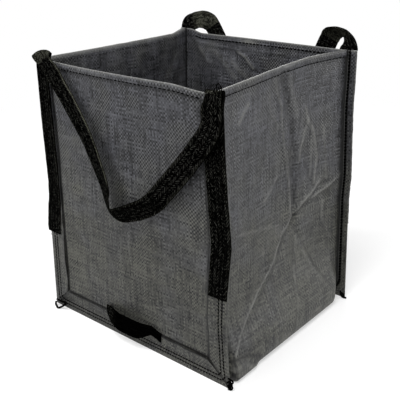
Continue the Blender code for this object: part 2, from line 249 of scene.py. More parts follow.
# wrinkles: points in mm, then height and width in mm, and how pale the bent cloth is painted: above 0
# whitened by bending together with painted highlight on the lit side, below 0 painted shade in the valley
wrinkles = {
    "right": [
        ([(8, 452), (19, 419), (31, 390), (40, 350), (42, 309), (48, 262), (48, 224), (47, 202)],
         -2.4, 3.4, -1.0),
        ([(-16, 452), (-10, 426), (3, 402), (11, 347), (22, 289), (29, 244), (36, 205)], 2.2, 4.4, 0.65),
        ([(-30, 440), (-26, 400), (0, 366)], 0.9, 4, 0.4),
        ([(30, 440), (46, 400), (54, 372)], 0.7, 12, 0.3),
        ([(78, 381), (84, 360), (66, 316), (62, 293)], 1.7, 4.5, 0.65),
        ([(82, 359), (99, 338), (110, 289), (105, 266), (102, 246)], 2.1, 5, 0.7),
        ([(96, 350), (96, 300), (92, 262)], 1.2, 4.5, 0.45),
        ([(127, 338), (135, 270), (136, 246)], 1.3, 4, 0.55),
        ([(-92, 425), (-104, 416), (-119, 404)], 1.2, 9, 0.55),
        ([(-46, 258), (-26, 270), (-4, 288)], 1.4, 4, 0.7),
        ([(174, 246), (147, 233), (120, 226), (90, 220)], 1.8, 4.4, 0.6),
        ([(120, 247), (98, 232), (71, 218), (48, 205)], 1.9, 4.2, 0.7),
        ([(124, 238), (76, 211), (52, 197)], -1.9, 3.8, -0.6),
        ([(131, 204), (125, 182), (150, 131)], 1.0, 5, 0.4),
        ([(-170, 252), (-150, 247), (-75, 225), (-3, 209)], -0.9, 3.6, -0.35),
        ([(-150, 240), (-75, 218), (-3, 202)], 0.7, 5, 0.3),
        ([(48, 208), (12, 186), (-18, 151), (-50, 126), (-85, 104), (-114, 87), (-135, 72), (-158, 47)],
         1.5, 3.6, 0.9),
        ([(54, 200), (22, 177), (-8, 141), (-40, 116), (-75, 94), (-104, 77), (-125, 60)], -2.2, 5.5, -0.45),
        ([(50, 200), (30, 186), (10, 170), (-4, 152)], -1.6, 4.6, -0.7),
        ([(45, 186), (60, 164), (82, 126), (100, 90), (116, 64), (131, 42)], -2.2, 4.0, -0.85),
        ([(38, 178), (74, 118), (108, 56)], 0.9, 5, 0.25),
        ([(48, 174), (25, 94), (-2, 8)], -0.7, 3.2, -0.4),
        ([(53, 174), (30, 94), (3, 8)], 0.6, 3.2, 0.35),
        ([(106, 64), (98, 15)], -1.0, 6, -0.35),
        ([(-174, 39), (-155, 39), (-135, 36), (-103, 28), (-80, 18)], -0.6, 4.6, -1.3),
        ([(-168, 31), (-137, 29), (-110, 19)], 0.4, 4.6, 0.6),
    ],
    "left": [
        ([(18, 461), (14, 403), (12, 300), (12, 200)], 1.0, 3.5, 0.35),
        ([(-170, 440), (0, 438), (170, 440)], -0.6, 3.6, -0.5),
        ([(108, 380), (122, 398), (137, 420)], 1.8, 11, 0.2),
        ([(60, 330), (99, 369), (150, 400)], -1.4, 14, 0),
    ],
    front: [
        ([(7, 206), (5, 182), (6, 157)], 1.0, 2.6, 0.6),
        ([(-68, 390), (-66, 315)], 0.7, 9, 0),
        ([(70, 330), (66, 250)], 0.8, 12, 0),
        ([(-140, 236), (-60, 225), (30, 219)], -1.0, 9, 0),
    ],
    back: [
        ([(-58, 436), (-36, 426), (-17, 407)], -1.9, 4, 0.95),
        ([(-112, 428), (-88, 408), (-62, 384)], -2.8, 13, 0.3),
        ([(-158, 434), (-134, 408)], -1.4, 8, 0.2),
        ([(-70, 414), (-50, 398), (-20, 382)], -1.6, 9, 0.35),
        ([(-170, 440), (-60, 437), (40, 439), (170, 438)], -0.6, 3.6, -0.6),
        ([(10, 420), (40, 380)], -1.2, 12, 0),
    ],
}
uprightCrease = [(187, 44), (230, 49), (274, 50), (323, 45.5), (370, 39), (410, 25), (447, 9.9), (461, 6)]


def nearWrinkle(u, v, points):
    # how far a point of the cloth lies from a wrinkle's line
    points = np.array(points) / 1000
    best = np.full(np.broadcast(u, v).shape, np.inf)
    for (u0, v0), (u1, v1) in zip(points, points[1:]):
        du, dv = u1 - u0, v1 - v0
        share = np.clip(((u - u0) * du + (v - v0) * dv) / (du * du + dv * dv), 0, 1)
        best = np.minimum(best, np.hypot(u - u0 - share * du, v - v0 - share * dv))
    return best


def wrinkleLift(u, v, where):
    return sum(ridge(nearWrinkle(u, v, points), width / 1000) * height / 1000
               for points, height, width, paleAndShade in wrinkles[where])


def wrinkleLightAndShade(u, v, where):
    # above 0 where the bent cloth is painted pale, whitened by bending together with painted highlight on the
    # lit side; below 0 painted shade down in a valley
    faded = sum(ridge(nearWrinkle(u, v, points), width / 2200) * paleAndShade
                for points, height, width, paleAndShade in wrinkles[where] if paleAndShade)
    return faded * (0.85 + 0.35 * cloudy(u, v, 0.014, 3))


def settle(x, y, z):
    # the bag narrows and leans a little towards its open rim
    share = z / rim
    drawnIn = stance["topInset"] * share * np.clip(x / (half - webbing["width"]), -1, 1)
    stray = sum(rising(x * hand, *strayFade["x"]) * rising(y * side, *strayFade["y"]) * along(z, table)
                for (side, hand), table in finStray.items())
    lifted = rising(-x, *cornerLift["x"]) * rising(y, *cornerLift["y"]) * rising(z, *cornerLift["z"])
    lifted = lifted * (1 - rising(z, *cornerLift["above"]))
    dipped = rising(x, *cornerDip["x"]) * rising(y, *cornerDip["y"]) * rising(z, *cornerDip["z"])
    lift = cornerLift["height"] * lifted - cornerDip["depth"] * dipped
    return np.stack([x - drawnIn + stance["leanX"] * share + stray, y + stance["leanY"] * share,
                     z + lift], axis=-1)


def loose(calm, fromSeam, z):
    # how freely the cloth waves: less towards its seams, foot and rim
    inner = rising(fromSeam, *calm["seam"]) * rising(z, *calm["foot"])
    return inner * (calm["atRim"] + (1 - calm["atRim"]) * rising(rim - z, *calm["rim"]))


def crumple(side, x, z):
    # the panel's own waviness
    fromEdge = half - np.abs(x)
    packed = ridges(z - along(x, panelFold), panelPacking)
    waves = loose(panelCalm, fromEdge, z) * (wavy(x, z, panelWaves[side]) + packed + wrinkleLift(x, z, side))
    clearOfStraps = fromEdge > webbing["width"] + 0.002
    return waves - ridges(np.minimum(fromEdge, z), seamDents) - ridges(rim - z, rimDent) * clearOfStraps


def bulge(side, x, z):
    rise = np.clip((z - stance["bulgeFoot"]) / (rim - stance["bulgeFoot"]), 0, 1.2)
    return stance["bulge"][side] * rise * np.maximum(0, 1 - (x / half) ** 2)


def face(side, x, z, out=0.0, crumpled=True):
    wave = crumple(side, x, z) if crumpled else 0
    return side * (halfDepth + bulge(side, x, z) + wave + out)


def onPanel(side, x, z, out, crumpled=True):
    x, z, out = np.broadcast_arrays(np.asarray(x, float), np.asarray(z, float), np.asarray(out, float))
    return settle(x, face(side, x, z, out, crumpled), z)


def besideFold(y, middle):
    # from 0 at a fold's line to 1 at the seam on either side
    return np.clip(np.abs(y - middle) / (halfDepth + np.where(y < middle, middle, -middle)), 0, 1)


def foldDepth(hand, y, z):
    # how far a side wall folds in: one upright crease above, two that part below it
    crease = stance["creaseHeight"]
    share = np.clip((z - crease) / (rim - crease), 0, 1)
    middle = along(z, uprightCrease)
    depth = stance["creaseDepth"] * (1 - share) * (1 - besideFold(y, middle) ** (1.15 + 0.5 * share))
    rimBow = np.where(hand > 0, stance["rimBow"]["right"], stance["rimBow"]["left"])
    depth = depth + rimBow * share * (1 - besideFold(y, stance["rimCreaseOffset"]) ** 2)
    sharp = pinch["height"] * np.sin(np.pi * np.clip((z - pinch["from"]) / pinch["reach"], 0, 1)) ** 0.5
    depth = depth + sharp * ridges(y - middle, pinch["ridges"])
    lower = np.clip((z - stance["creaseFoot"]) / (crease - stance["creaseFoot"]), 0, 1)
    return np.where(z < crease, np.minimum(depth, stance["creaseDepth"] * lower), depth)


def wallWave(hand, y, z):
    # small wrinkles of a wall
    fromSeam = halfDepth - np.abs(y)
    packed = ridges(z - along(y, wallFold), wallPacking)
    creased = np.where(hand > 0, wrinkleLift(y, z, "right"), wrinkleLift(y, z, "left"))
    waves = wavy(y + np.where(hand > 0, 0.0, 0.5), z, wallWaves) + packed + creased
    top = footLip["top"] - footLip["round"] * (y - footLip["middle"]) ** 2
    lip = footLip["height"] * rising(z, top, footLip["edge"]) * rising(y, *footLip["y"])
    lip = lip * rising(fromSeam, *footLip["seam"]) * (hand > 0)
    return loose(wallCalm, fromSeam, z) * waves + lip


def belly(z):
    # how far the strip swells past its seam, at the foot of a wall and in the base
    faded = rising(z, bag["fin"] + bag["baseCorner"], stance["bellyFade"])
    return (bag["fin"] - bag["room"]) * (1 - faded)


def stripReach(x, z, nx, nz, y):
    inner = halfDepth - bag["finTurn"]
    ramp = np.where((x > 0) & (y < 0), stance["cornerRamp"], stance["baseRamp"])
    power = stance["footSquareness"]
    square = (np.abs(nx) ** power + np.abs(nz) ** power) ** (-1 / power)
    swell = (bag["baseCorner"] + belly(z)) * square - bag["baseCorner"]
    folded = foldDepth(nx, y, z) - wallWave(nx, y, z)
    return rising(inner - np.abs(y), 0, ramp) * swell - np.abs(nx) * folded


def stripPoint(x, z, nx, nz, share, out=0.0):
    # on the strip between its two turns, share 0 at the front panel and 1 at the back
    low = face(front, x, z) + bag["gap"] + bag["finTurn"]
    high = face(back, x, z) - bag["gap"] - bag["finTurn"]
    y = low + (high - low) * share
    reach = stripReach(x, z, nx, nz, y) + out
    return settle(x + nx * reach, y, np.maximum(z + nz * reach, bag["floorGap"]))


def finPoint(x, z, nx, nz, side, inset, reach):
    # on the turned-out edge of the strip, which lies against a panel's inner face
    y = face(side, x + nx * reach, z) - side * (bag["gap"] + inset)
    return settle(x + nx * reach, y, z + nz * reach)


def foldOver(past, radius):
    # a flap that turns back outward: how far it stands out, and how far it lies past the fold
    angle = np.clip(past / radius, 0, math.pi)
    onwards = np.maximum(past - math.pi * radius, 0)
    return radius * (1 - np.cos(angle)), radius * np.sin(angle) - onwards


# making pieces


def layGrid(sheet, places, flats):
    # a grid of faces whose points go to places, with flat cloth metres as UVs
    rows, columns = places.shape[:2]
    points = bmesh.ops.create_grid(sheet, x_segments=columns - 1, y_segments=rows - 1, size=0.5)["verts"]
    flatOf, grid = {}, []
    for point in points:
        column = round((point.co.x + 0.5) * (columns - 1))
        row = round((point.co.y + 0.5) * (rows - 1))
        point.co = places[row, column]
        flatOf[point] = flats[row, column]
        grid.append((point, row, column))
    uv = sheet.loops.layers.uv.get("UVMap") or sheet.loops.layers.uv.new("UVMap")
    for wall in {wall for point in points for wall in point.link_faces}:
        for corner in wall.loops:
            corner[uv].uv = flatOf[corner.vert]
    return grid


def finishPiece(name, sheet, finish, body, replaced):
    mesh = bpy.data.meshes.new(name)
    sheet.to_mesh(mesh)
    sheet.free()
    mesh.shade_smooth()
    mesh.materials.append(finish)
    piece = addObject(name, mesh)
    if body:
        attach(piece, body)
    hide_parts(*replaced)
    return piece


def thicken(piece, thickness, offset=0.0):
    solid = piece.modifiers.new("thickness", "SOLIDIFY")
    solid.thickness = thickness
    solid.offset = offset
    solid.use_quality_normals = True


marks = {  # strength, place and width of what is painted along a line
    "fold": (0.35, 0.0005, 0.0016),
    "footFold": (0.35, 0, 0.0016),
    "rimFold": (0.75, 0.001, 0.0022),
    "packing": (0.20, 0, 0.0022),
    "backScuff": (0.8, -0.03, 0.02),
    "rimScuff": (1, -0.006, 0.006),
    "hemEdgeShade": (0.45, 0, 0.0012),
    "borderGapShadow": (1.7, 0.0008, 0.0017),
    "darkEdgesAndShade": (1.6, 0, 0.0017),
    "stitchDentShade": (0.75, 0, 0.0013),
    "wallRim": (0.8, 0, 0.0022),
    "finEdge": (0.4, 0, 0.0012),
    "wallScuff": (0.9, 0.012, 0.014),
    "wallRimScuff": (1, 0, 0.006),
    "betweenSeams": (1, 0.0146, 0.0009),
    "seam": (1, 0.0119, 0.0020),
    "backSeamShade": (1.6, 0.0170, 0.0020),
}


def mark(name, distance):
    return ridges(distance, [marks[name]])


def paint(piece, layerName, amount):
    layer = piece.data.attributes.new(layerName, "FLOAT", "POINT")
    layer.data.foreach_set("value", np.asarray(amount, np.float32).reshape(-1))


# materials


def node(tree, kind, inputs=None, **settings):
    # adds a node, and gives its outputs by number and by name
    made = tree.nodes.new(kind)
    for name, value in settings.items():
        setattr(made, name, value)
    for key, value in (inputs or {}).items():
        if isinstance(value, Wire):
            tree.links.new(value.socket, made.inputs[key])
        else:
            made.inputs[key].default_value = value
    return wiresOf(made)


def wiresOf(made):
    wires = {}
    for index, socket in enumerate(made.outputs):
        wires[index] = wires[socket.name] = Wire(socket)
    return wires


class Wire:
    # an output of a node: arithmetic with it adds Math nodes
    def __init__(self, socket):
        self.socket, self.tree = socket, socket.id_data

    def maths(self, operation, *values):
        return node(self.tree, "ShaderNodeMath", dict(enumerate(values)), operation=operation)[0]

    def __rsub__(self, other):
        return self.maths("SUBTRACT", other, self)

    def spread(self, low, high, start=0.0, end=1.0):
        # from low at start to high at end
        return node(self.tree, "ShaderNodeMapRange", {0: self, 1: start, 2: end, 3: low, 4: high})[0]

    def choose(self, low, high):
        return node(self.tree, "ShaderNodeMix", {0: self, 2: low, 3: high})[0]

    def colour(self, low, high):
        return node(self.tree, "ShaderNodeMix", {0: self, 6: low, 7: high}, data_type="RGBA")[2]

    def into(self, entry):
        self.tree.links.new(self.socket, entry)


operations = {"__add__": "ADD", "__sub__": "SUBTRACT", "__mul__": "MULTIPLY", "__truediv__": "DIVIDE",
              "__mod__": "MODULO", "__pow__": "POWER", "__abs__": "ABSOLUTE", "floor": "FLOOR",
              "fraction": "FRACT", "atLeast": "MAXIMUM"}
for method, operation in operations.items():
    setattr(Wire, method, lambda self, *others, kind=operation: self.maths(kind, self, *others))


def newGroup(name, inputs, outputs):
    tree = bpy.data.node_groups.new(name, "ShaderNodeTree")
    tree.interface.new_socket("Place", in_out="INPUT", socket_type="NodeSocketVector")
    for label, value in inputs.items():
        tree.interface.new_socket(label, in_out="INPUT", socket_type="NodeSocketFloat").default_value = value
    for label in outputs:
        tree.interface.new_socket(label, in_out="OUTPUT", socket_type="NodeSocketFloat")
    return tree, node(tree, "NodeGroupInput"), tree.nodes.new("NodeGroupOutput").inputs


def crown(fraction, power):
    # 1 in the middle of a cell and 0 at its edges
    return 1.0 - abs(fraction * 2.0 - 1.0) ** power


def tapeWeaveGroup():
    # flat plastic tapes, over one and under one
    tree, given, result = newGroup("tape weave", {"Pitch": 0.0025}, ("Height", "Tone", "Upright"))
    split = node(tree, "ShaderNodeSeparateXYZ", {0: given["Place"]})
    across, up = split[0] / given["Pitch"], split[1] / given["Pitch"]
    column, row = across.floor(), up.floor()
    overTop = abs((column + row) % 2.0)
    columnCrown, rowCrown = crown(across.fraction(), 4.0), crown(up.fraction(), 4.0)
    heights = [rowCrown * (columnCrown * 0.35 + 0.65), columnCrown * (rowCrown * 0.35 + 0.65)]
    cell = node(tree, "ShaderNodeCombineXYZ", {0: column, 1: row, 2: 0.5})[0]
    single = node(tree, "ShaderNodeTexWhiteNoise", {"Vector": cell}, noise_dimensions="3D")["Value"]
    tones = []  # of the level tapes, then of the upright ones, drifting along their length
    for index, length in ((row, across), (column, up)):
        place = {0: index * 3.37, 1: length * 0.055, 2: 4.0 * len(tones)}
        place = node(tree, "ShaderNodeCombineXYZ", place)[0]
        drifting = node(tree, "ShaderNodeTexNoise", {"Vector": place, "Scale": 1.0, "Detail": 2.0})["Fac"]
        tones.append(drifting.spread(0.0, 0.72, 0.3, 0.7) + single * 0.28)
    overTop.choose(*heights).into(result["Height"])
    overTop.choose(*tones).into(result["Tone"])
    overTop.into(result["Upright"])
    return tree


def herringboneGroup():
    # slanting ribs that turn at each column
    sizes = {"Column": 0.0042, "Rib": 0.0016, "Slope": 1.7, "Dash": 0.0030}
    tree, given, result = newGroup("herringbone", sizes, ("Height", "Tone"))
    split = node(tree, "ShaderNodeSeparateXYZ", {0: given["Place"]})
    across = split[0] / given["Column"]
    column, within = across.floor(), across.fraction()
    sense = abs(column % 2.0) * 2.0 - 1.0
    slant = within * sense * given["Slope"] * (given["Column"] / given["Rib"])
    phase = split[1] / given["Rib"] + slant
    (crown(phase.fraction(), 2.0) * crown(within, 6.0)).into(result["Height"])
    cell = {0: column, 1: phase.floor(), 2: (split[1] / given["Dash"]).floor()}
    cell = node(tree, "ShaderNodeCombineXYZ", cell)[0]
    single = node(tree, "ShaderNodeTexWhiteNoise", {"Vector": cell}, noise_dimensions="3D")["Value"]
    single.into(result["Tone"])
    return tree


def mottleGroup():
    # soft patches, small scuffs and the fine crumpling of handled cloth
    tree, given, result = newGroup("mottle", {"Patch": 14.0, "Crumple": 60.0}, ("Patches", "Creases"))
    patches = {"Vector": given["Place"], "Scale": given["Patch"], "Detail": 4.0, "Roughness": 0.6}
    node(tree, "ShaderNodeTexNoise", patches)["Fac"].into(result["Patches"])
    warped = {"Vector": given["Place"], "Scale": given["Crumple"], "Detail": 3.0, "Roughness": 0.55,
              "Distortion": 1.2}
    (abs(node(tree, "ShaderNodeTexNoise", warped)["Fac"] - 0.5) * 4.0).into(result["Creases"])
    return tree


groups = {"weave": tapeWeaveGroup(), "ribs": herringboneGroup(), "mottle": mottleGroup()}


def use(tree, group, **inputs):
    return node(tree, "ShaderNodeGroup", inputs, node_tree=groups[group])


def startMaterial(name):
    made = bpy.data.materials.new(name)
    made.use_nodes = True
    return made, made.node_tree, made.node_tree.nodes["Principled BSDF"].inputs


def flatPlace(tree):
    return node(tree, "ShaderNodeUVMap", uv_map="UVMap")[0]


def bagPlace(tree):
    return node(tree, "ShaderNodeTexCoord")["Object"]


def painted(tree, layerName):
    return node(tree, "ShaderNodeAttribute", attribute_name=layerName)["Fac"]


def bumps(tree, surface, heights, relief):
    # relief: strength and distance by name, from the coarsest to the finest
    below = {}
    for name, (strength, distance) in relief.items():
        inputs = {"Height": heights[name], "Strength": strength, "Distance": distance, **below}
        below = {"Normal": node(tree, "ShaderNodeBump", inputs)[0]}
    below["Normal"].into(surface["Normal"])


cloth = {
    "pitch": 0.0031,
    "patch": 11.0,
    "crumple": 38.0,
    "between": (0.010, 0.010, 0.011, 1),  # the dark end of the tone: painted shade in the weave's gaps, and the darker tapes
    "cool": (0.118, 0.120, 0.134, 1),
    "warm": (0.126, 0.126, 0.108, 1),
    "wornAndLit": (0.24, 0.24, 0.225, 1),
    "valleyShade": (0.012, 0.012, 0.012, 1),
    "darkEdgesAndShade": (0.004, 0.004, 0.004, 1),
    "contrast": (0.10, 0.95, 0.38, 0.66),  # of the two ways of the weave, in patches
    "contrastByHeight": (0.5, 1.2, 0.17, 0.30),
    "base": 0.44,
    "streaks": 1.5,
    "patches": 0.9,
    "gapShade": (-0.22, 0.05, 0.25, 0.75),
    "dustAndLightTintByHeight": (1.0, 0.10, 0.14, 0.38),
    "dustAndLightTintDrift": (-0.45, 0.45, 0.3, 0.7),
    "rubbedTapes": (0.55, 1.0),
    "rubbedPatches": (0.5, 1.1, 0.3, 0.7),
    "sunkCreases": (1.0, 0.55),
    "rough": (0.44, 0.60, 0.3, 0.7),
    "specular": 0.25,
    "relief": {"Patches": (0.45, 0.005), "Creases": (0.30, 0.0014), "Height": (0.6, 0.0004)},
}


def clothMaterial(name, paintedShading=1.0, weave=1.0):
    made, tree, surface = startMaterial(name)
    flat, body = flatPlace(tree), bagPlace(tree)
    woven = use(tree, "weave", Place=flat, Pitch=cloth["pitch"])
    mottled = use(tree, "mottle", Place=body, Patch=cloth["patch"], Crumple=cloth["crumple"])
    height = node(tree, "ShaderNodeSeparateXYZ", {0: body})[2]
    drift = node(tree, "ShaderNodeTexNoise", {"Vector": body, "Scale": 17.0, "Detail": 2.0})["Fac"]
    contrast = drift.spread(*cloth["contrast"]) * height.spread(*cloth["contrastByHeight"]) * weave
    tone = (woven["Upright"] - 0.5) * contrast + (woven["Tone"] - 0.5) * cloth["streaks"]
    tone = tone + (mottled["Patches"] - 0.5) * cloth["patches"]
    # painted shade in the gaps between the tapes
    tone = tone + woven["Height"].spread(*cloth["gapShade"]) + cloth["base"]
    # cool towards the top and warm towards the foot: dust low down together with a painted tint of the light
    low = height.spread(*cloth["dustAndLightTintByHeight"]) + drift.spread(*cloth["dustAndLightTintDrift"])
    between, cool, warm = ([part * paintedShading for part in cloth[key][:3]] + [1]
                           for key in ("between", "cool", "warm"))
    colour = tone.colour(between, low.colour(cool, warm))
    # above 0 rubbing and whitening together with painted highlight; below 0 painted shade
    wearAndPaintedLight = painted(tree, "wearAndPaintedLight")
    lightened = wearAndPaintedLight.atLeast(0.0) * woven["Height"].spread(*cloth["rubbedTapes"])
    lightened = lightened * mottled["Patches"].spread(*cloth["rubbedPatches"])
    colour = lightened.colour(colour, cloth["wornAndLit"])
    # painted shade where the painted value is below 0: in wrinkle valleys and under the hem's edge
    valleyShadeShare = (wearAndPaintedLight * -1.0).atLeast(0.0) * mottled["Creases"].spread(*cloth["sunkCreases"])
    colour = valleyShadeShare.colour(colour, cloth["valleyShade"])
    # the darkest paint: painted shade in gaps, dents and seams, with the dark cut edges and the foot's dirt
    painted(tree, "darkEdgesAndShade").colour(colour, cloth["darkEdgesAndShade"]).into(surface["Base Color"])
    rough = mottled["Patches"].spread(*cloth["rough"]) + woven["Height"] * -0.06
    rough.into(surface["Roughness"])
    surface["Specular IOR Level"].default_value = cloth["specular"]
    bumps(tree, surface, {**woven, **mottled}, cloth["relief"])
    return made


strap = {
    "black": (0.0004, 0.0004, 0.0004, 1),
    # painted highlight on the crests of the ribs
    "ribHighlight": (0.050, 0.050, 0.044, 1),
    "glint": (0.12, 0.12, 0.105, 1),
    "lightened": (0.085, 0.086, 0.066, 1),
    "column": 0.0068,  # width of one slant of the herringbone
    "rib": 0.0054,
    "speck": 360.0,  # painted glints on the yarn, about this many in a metre
    "specks": (0.0, 1.0, 0.67, 0.75),
    "shade": (0.08, 1.0, -1.0, 0.0),  # painted shade, where the painted value is below 0
    "rubbedRibs": (0.05, 1.0),
    "rubbedTone": (0.2, 1.5),
    "rubbedPatches": (0.5, 1.0, 0.35, 0.65),
    "rough": (0.62, 0.84, 0.3, 0.7),
    "patch": 40.0,
    "crumple": 420.0,
    "relief": {"Patches": (0.2, 0.001), "Height": (0.9, 0.0006)},
}


def webbingMaterial(name):
    made, tree, surface = startMaterial(name)
    flat = flatPlace(tree)
    ribs = use(tree, "ribs", Place=flat, Column=strap["column"], Rib=strap["rib"])
    mottled = use(tree, "mottle", Place=flat, Patch=strap["patch"], Crumple=strap["crumple"])
    wearAndPaintedLight = painted(tree, "wearAndPaintedLight")
    # painted highlight on the rib crests, dimmed where painted shade is
    tone = ribs["Height"] ** 4.0 * ribs["Tone"] ** 2.0 * wearAndPaintedLight.spread(*strap["shade"])
    colour = tone.colour(strap["black"], strap["ribHighlight"])
    # paler where rubbed and where a painted highlight is
    lightened = wearAndPaintedLight.atLeast(0.0) * ribs["Height"].spread(*strap["rubbedRibs"])
    lightened = lightened * ribs["Tone"].spread(*strap["rubbedTone"])
    lightened = lightened * mottled["Patches"].spread(*strap["rubbedPatches"])
    colour = lightened.colour(colour, strap["lightened"])
    glintNoise = node(tree, "ShaderNodeTexNoise", {"Vector": flat, "Scale": strap["speck"], "Detail": 1.0})["Fac"]
    specks = glintNoise.spread(*strap["specks"]) * ribs["Height"] * wearAndPaintedLight.spread(0.0, 1.0, -1.0, 0.0)
    specks.colour(colour, strap["glint"]).into(surface["Base Color"])
    mottled["Patches"].spread(*strap["rough"]).into(surface["Roughness"])
    surface["Specular IOR Level"].default_value = 0.0
    bumps(tree, surface, {**ribs, **mottled}, strap["relief"])
    return made


yarn = {
    "twist": 450.0,  # in a metre
    "wander": 1.5,
    "patch": 60.0,
    "crumple": 400.0,
    "rough": (0.45, 0.65, 0.3, 0.7),
    "relief": {"Fac": (0.5, 0.0002)},
    # dark, light and specular level
    "sewing thread": ((0.001, 0.001, 0.001, 1), (0.006, 0.006, 0.0055, 1), 0.0),
    "frayed tape": ((0.10, 0.10, 0.09, 1), (0.40, 0.40, 0.37, 1), 0.2),
}


def threadMaterial(name):
    dark, light, gloss = yarn[name]
    made, tree, surface = startMaterial(name)
    body = bagPlace(tree)
    wave = {"Vector": body, "Scale": yarn["twist"], "Distortion": yarn["wander"]}
    twist = node(tree, "ShaderNodeTexWave", wave, bands_direction="DIAGONAL")
    mottled = use(tree, "mottle", Place=body, Patch=yarn["patch"], Crumple=yarn["crumple"])
    (twist["Fac"] * mottled["Patches"]).colour(dark, light).into(surface["Base Color"])
    mottled["Patches"].spread(*yarn["rough"]).into(surface["Roughness"])
    surface["Specular IOR Level"].default_value = gloss
    bumps(tree, surface, twist, yarn["relief"])
    return made


panelFinish = clothMaterial("panel cloth")
# the same cloth painted darker on the strip, as shade, with less contrast in its weave
stripFinish = clothMaterial("strip cloth", 0.90, 0.7)
webbingFinish = webbingMaterial("webbing")
threadFinish, paleFinish = threadMaterial("sewing thread"), threadMaterial("frayed tape")
print("materials made")


# front and back panels

panelCut = {
    "step": 0.0028,  # between points
    "fineStep": 0.0016,  # near the stitching and the border's free edge
    "fineReach": 0.043,
    "thickness": 0.00065,
    "plyGap": 0.00007,
    "skin": 0.00002,  # between its inner face and the panel's place
    "merge": 0.00002,
    "lift": 0.0030,  # how far the border's free edge stands off
    "looseFrom": 0.018,  # where it comes loose, from the fold
    "looseAtStrap": 0.031,
    "liftWave": 0.45,
    "liftEnds": (rim - 0.020, -0.015),
    "liftAtPull": 0.35,  # share left behind the pull loop
    "besidePull": (0.06, 0.03),
    "rollEnds": (half - 0.038, -0.008),
    "mitreGap": 0.0008,
    "hemRoll": 0.0013,  # how far the soft hem swells
    "hemRollWidth": 0.0093,
    "dirt": 0.32,  # on the left of its turned foot
}
ply = panelCut["thickness"] + panelCut["plyGap"]


def hemSwell(past, noise):
    return panelCut["hemRoll"] * np.sin(np.pi * np.clip(past / panelCut["hemRollWidth"], 0, 1)) * (1 + noise)


def panelPlace(side, u, v):
    # where a point of the flat cut goes: main cloth, turned border or hem
    first = panelCut["thickness"] / 2 + panelCut["skin"]
    sidePast, footPast, rimPast = np.abs(u) - half, -v, v - rim
    onSide, onFoot, onHem = sidePast > 0, footPast > 0, rimPast > 0
    radius = np.where(onHem, ply, ply / 2)
    past = np.maximum(np.maximum(sidePast, footPast), np.maximum(rimPast, 0))
    raised, beyond = foldOver(past, radius)
    edge = half - ply / 2 - first
    top = rim - ply - first
    bottom = ply / 2 + first
    x = np.where(onSide, np.sign(u) * (edge + beyond), u * edge / half)
    z = np.where(onFoot, bottom - beyond, bottom + v / rim * (top - bottom))
    z = np.where(onHem, top + beyond, z)
    inward = np.maximum(past - math.pi * radius, 0)
    start = np.where((z > legFoot) & onSide, panelCut["looseAtStrap"], panelCut["looseFrom"])
    lift = panelCut["lift"] * rising(inward, start, bag["border"] - start) * rising(z, *panelCut["liftEnds"])
    lift = lift * (1 + panelCut["liftWave"] * (cloudy(u * 3, v * 3, 0.06, 6) - 1)) * np.where(onHem, 0, 1)
    kept = panelCut["liftAtPull"]
    lift = lift * np.where(onFoot, kept + (1 - kept) * rising(np.abs(x), *panelCut["besidePull"]), 1)
    roll = hemSwell(inward, 0.25 * cloudy(u * 2, v, 0.02, 5)) * rising(np.abs(x), *panelCut["rollEnds"])
    return onPanel(side, x, z, first + raised + lift + roll * onHem)


def panelWearAndLight(side, u, v):
    # pale rubbing along the turned edges, the packing fold and the hem, with the wrinkles' painted highlight
    # and painted shade, and painted shade under the hem's raw edge
    lightened = [
        mark("fold", np.abs(np.abs(u) - half)),
        mark("footFold", v),
        mark("rimFold", v - rim),
        mark("packing", v - along(u, panelFold)) * (0.5 + 0.5 * cloudy(u, v, 0.02, 2)),
        mark("backScuff", u) * mark("rimScuff", v - rim) * (side == back),
    ]
    # painted shade under the raw edge of the hem
    shaded = mark("hemEdgeShade", v - rim + bag["hem"])
    return np.clip(strongest(lightened) + wrinkleLightAndShade(u, v, side) - shaded, -1, 1)


def mainLines(side, u, v):
    # painted shadow in the gap beside the front panel's border
    beside = np.minimum(half - np.abs(u), v) - bag["border"]
    faint = np.where((u > 0) & (v > 0.06), 0.35, 1.0) * (0.85 + 0.15 * cloudy(u * 2, v * 2, 0.05, 1))
    return mark("borderGapShadow", beside) * faint * (beside > -0.004) * (v <= rim) * (side == front)


def borderLines(u, v, toCut):
    # a border's cut edge and mitres, painted dark as the shade in their gap together with the dark heat-cut
    # edge; painted shade in the dents of its stitching; and dirt on the left of the foot
    past = np.maximum(np.abs(u) - half, -v)
    toMitre = np.where(np.abs(u) > half, v - past, half - np.abs(u) - past) / math.sqrt(2)
    # painted shade in the dents beside the stitching, with its needle holes
    dents = [mark("stitchDentShade", past - inset) * (v <= rim) for inset in stitching["rows"].values()]
    dirt = panelCut["dirt"] * rising(u, 0.02, -0.12) * (v < 0)
    return strongest([mark("darkEdgesAndShade", np.minimum(toCut, toMitre)), *dents, dirt])


def fineNearEnds(start, end):
    # values from start to end, closer together near both
    low, high = start + panelCut["fineReach"], end - panelCut["fineReach"]
    fine = panelCut["fineStep"]
    return np.array(evenly(start, low, fine)[:-1] + evenly(low, high, panelCut["step"])
                    + evenly(high, end, fine)[1:])


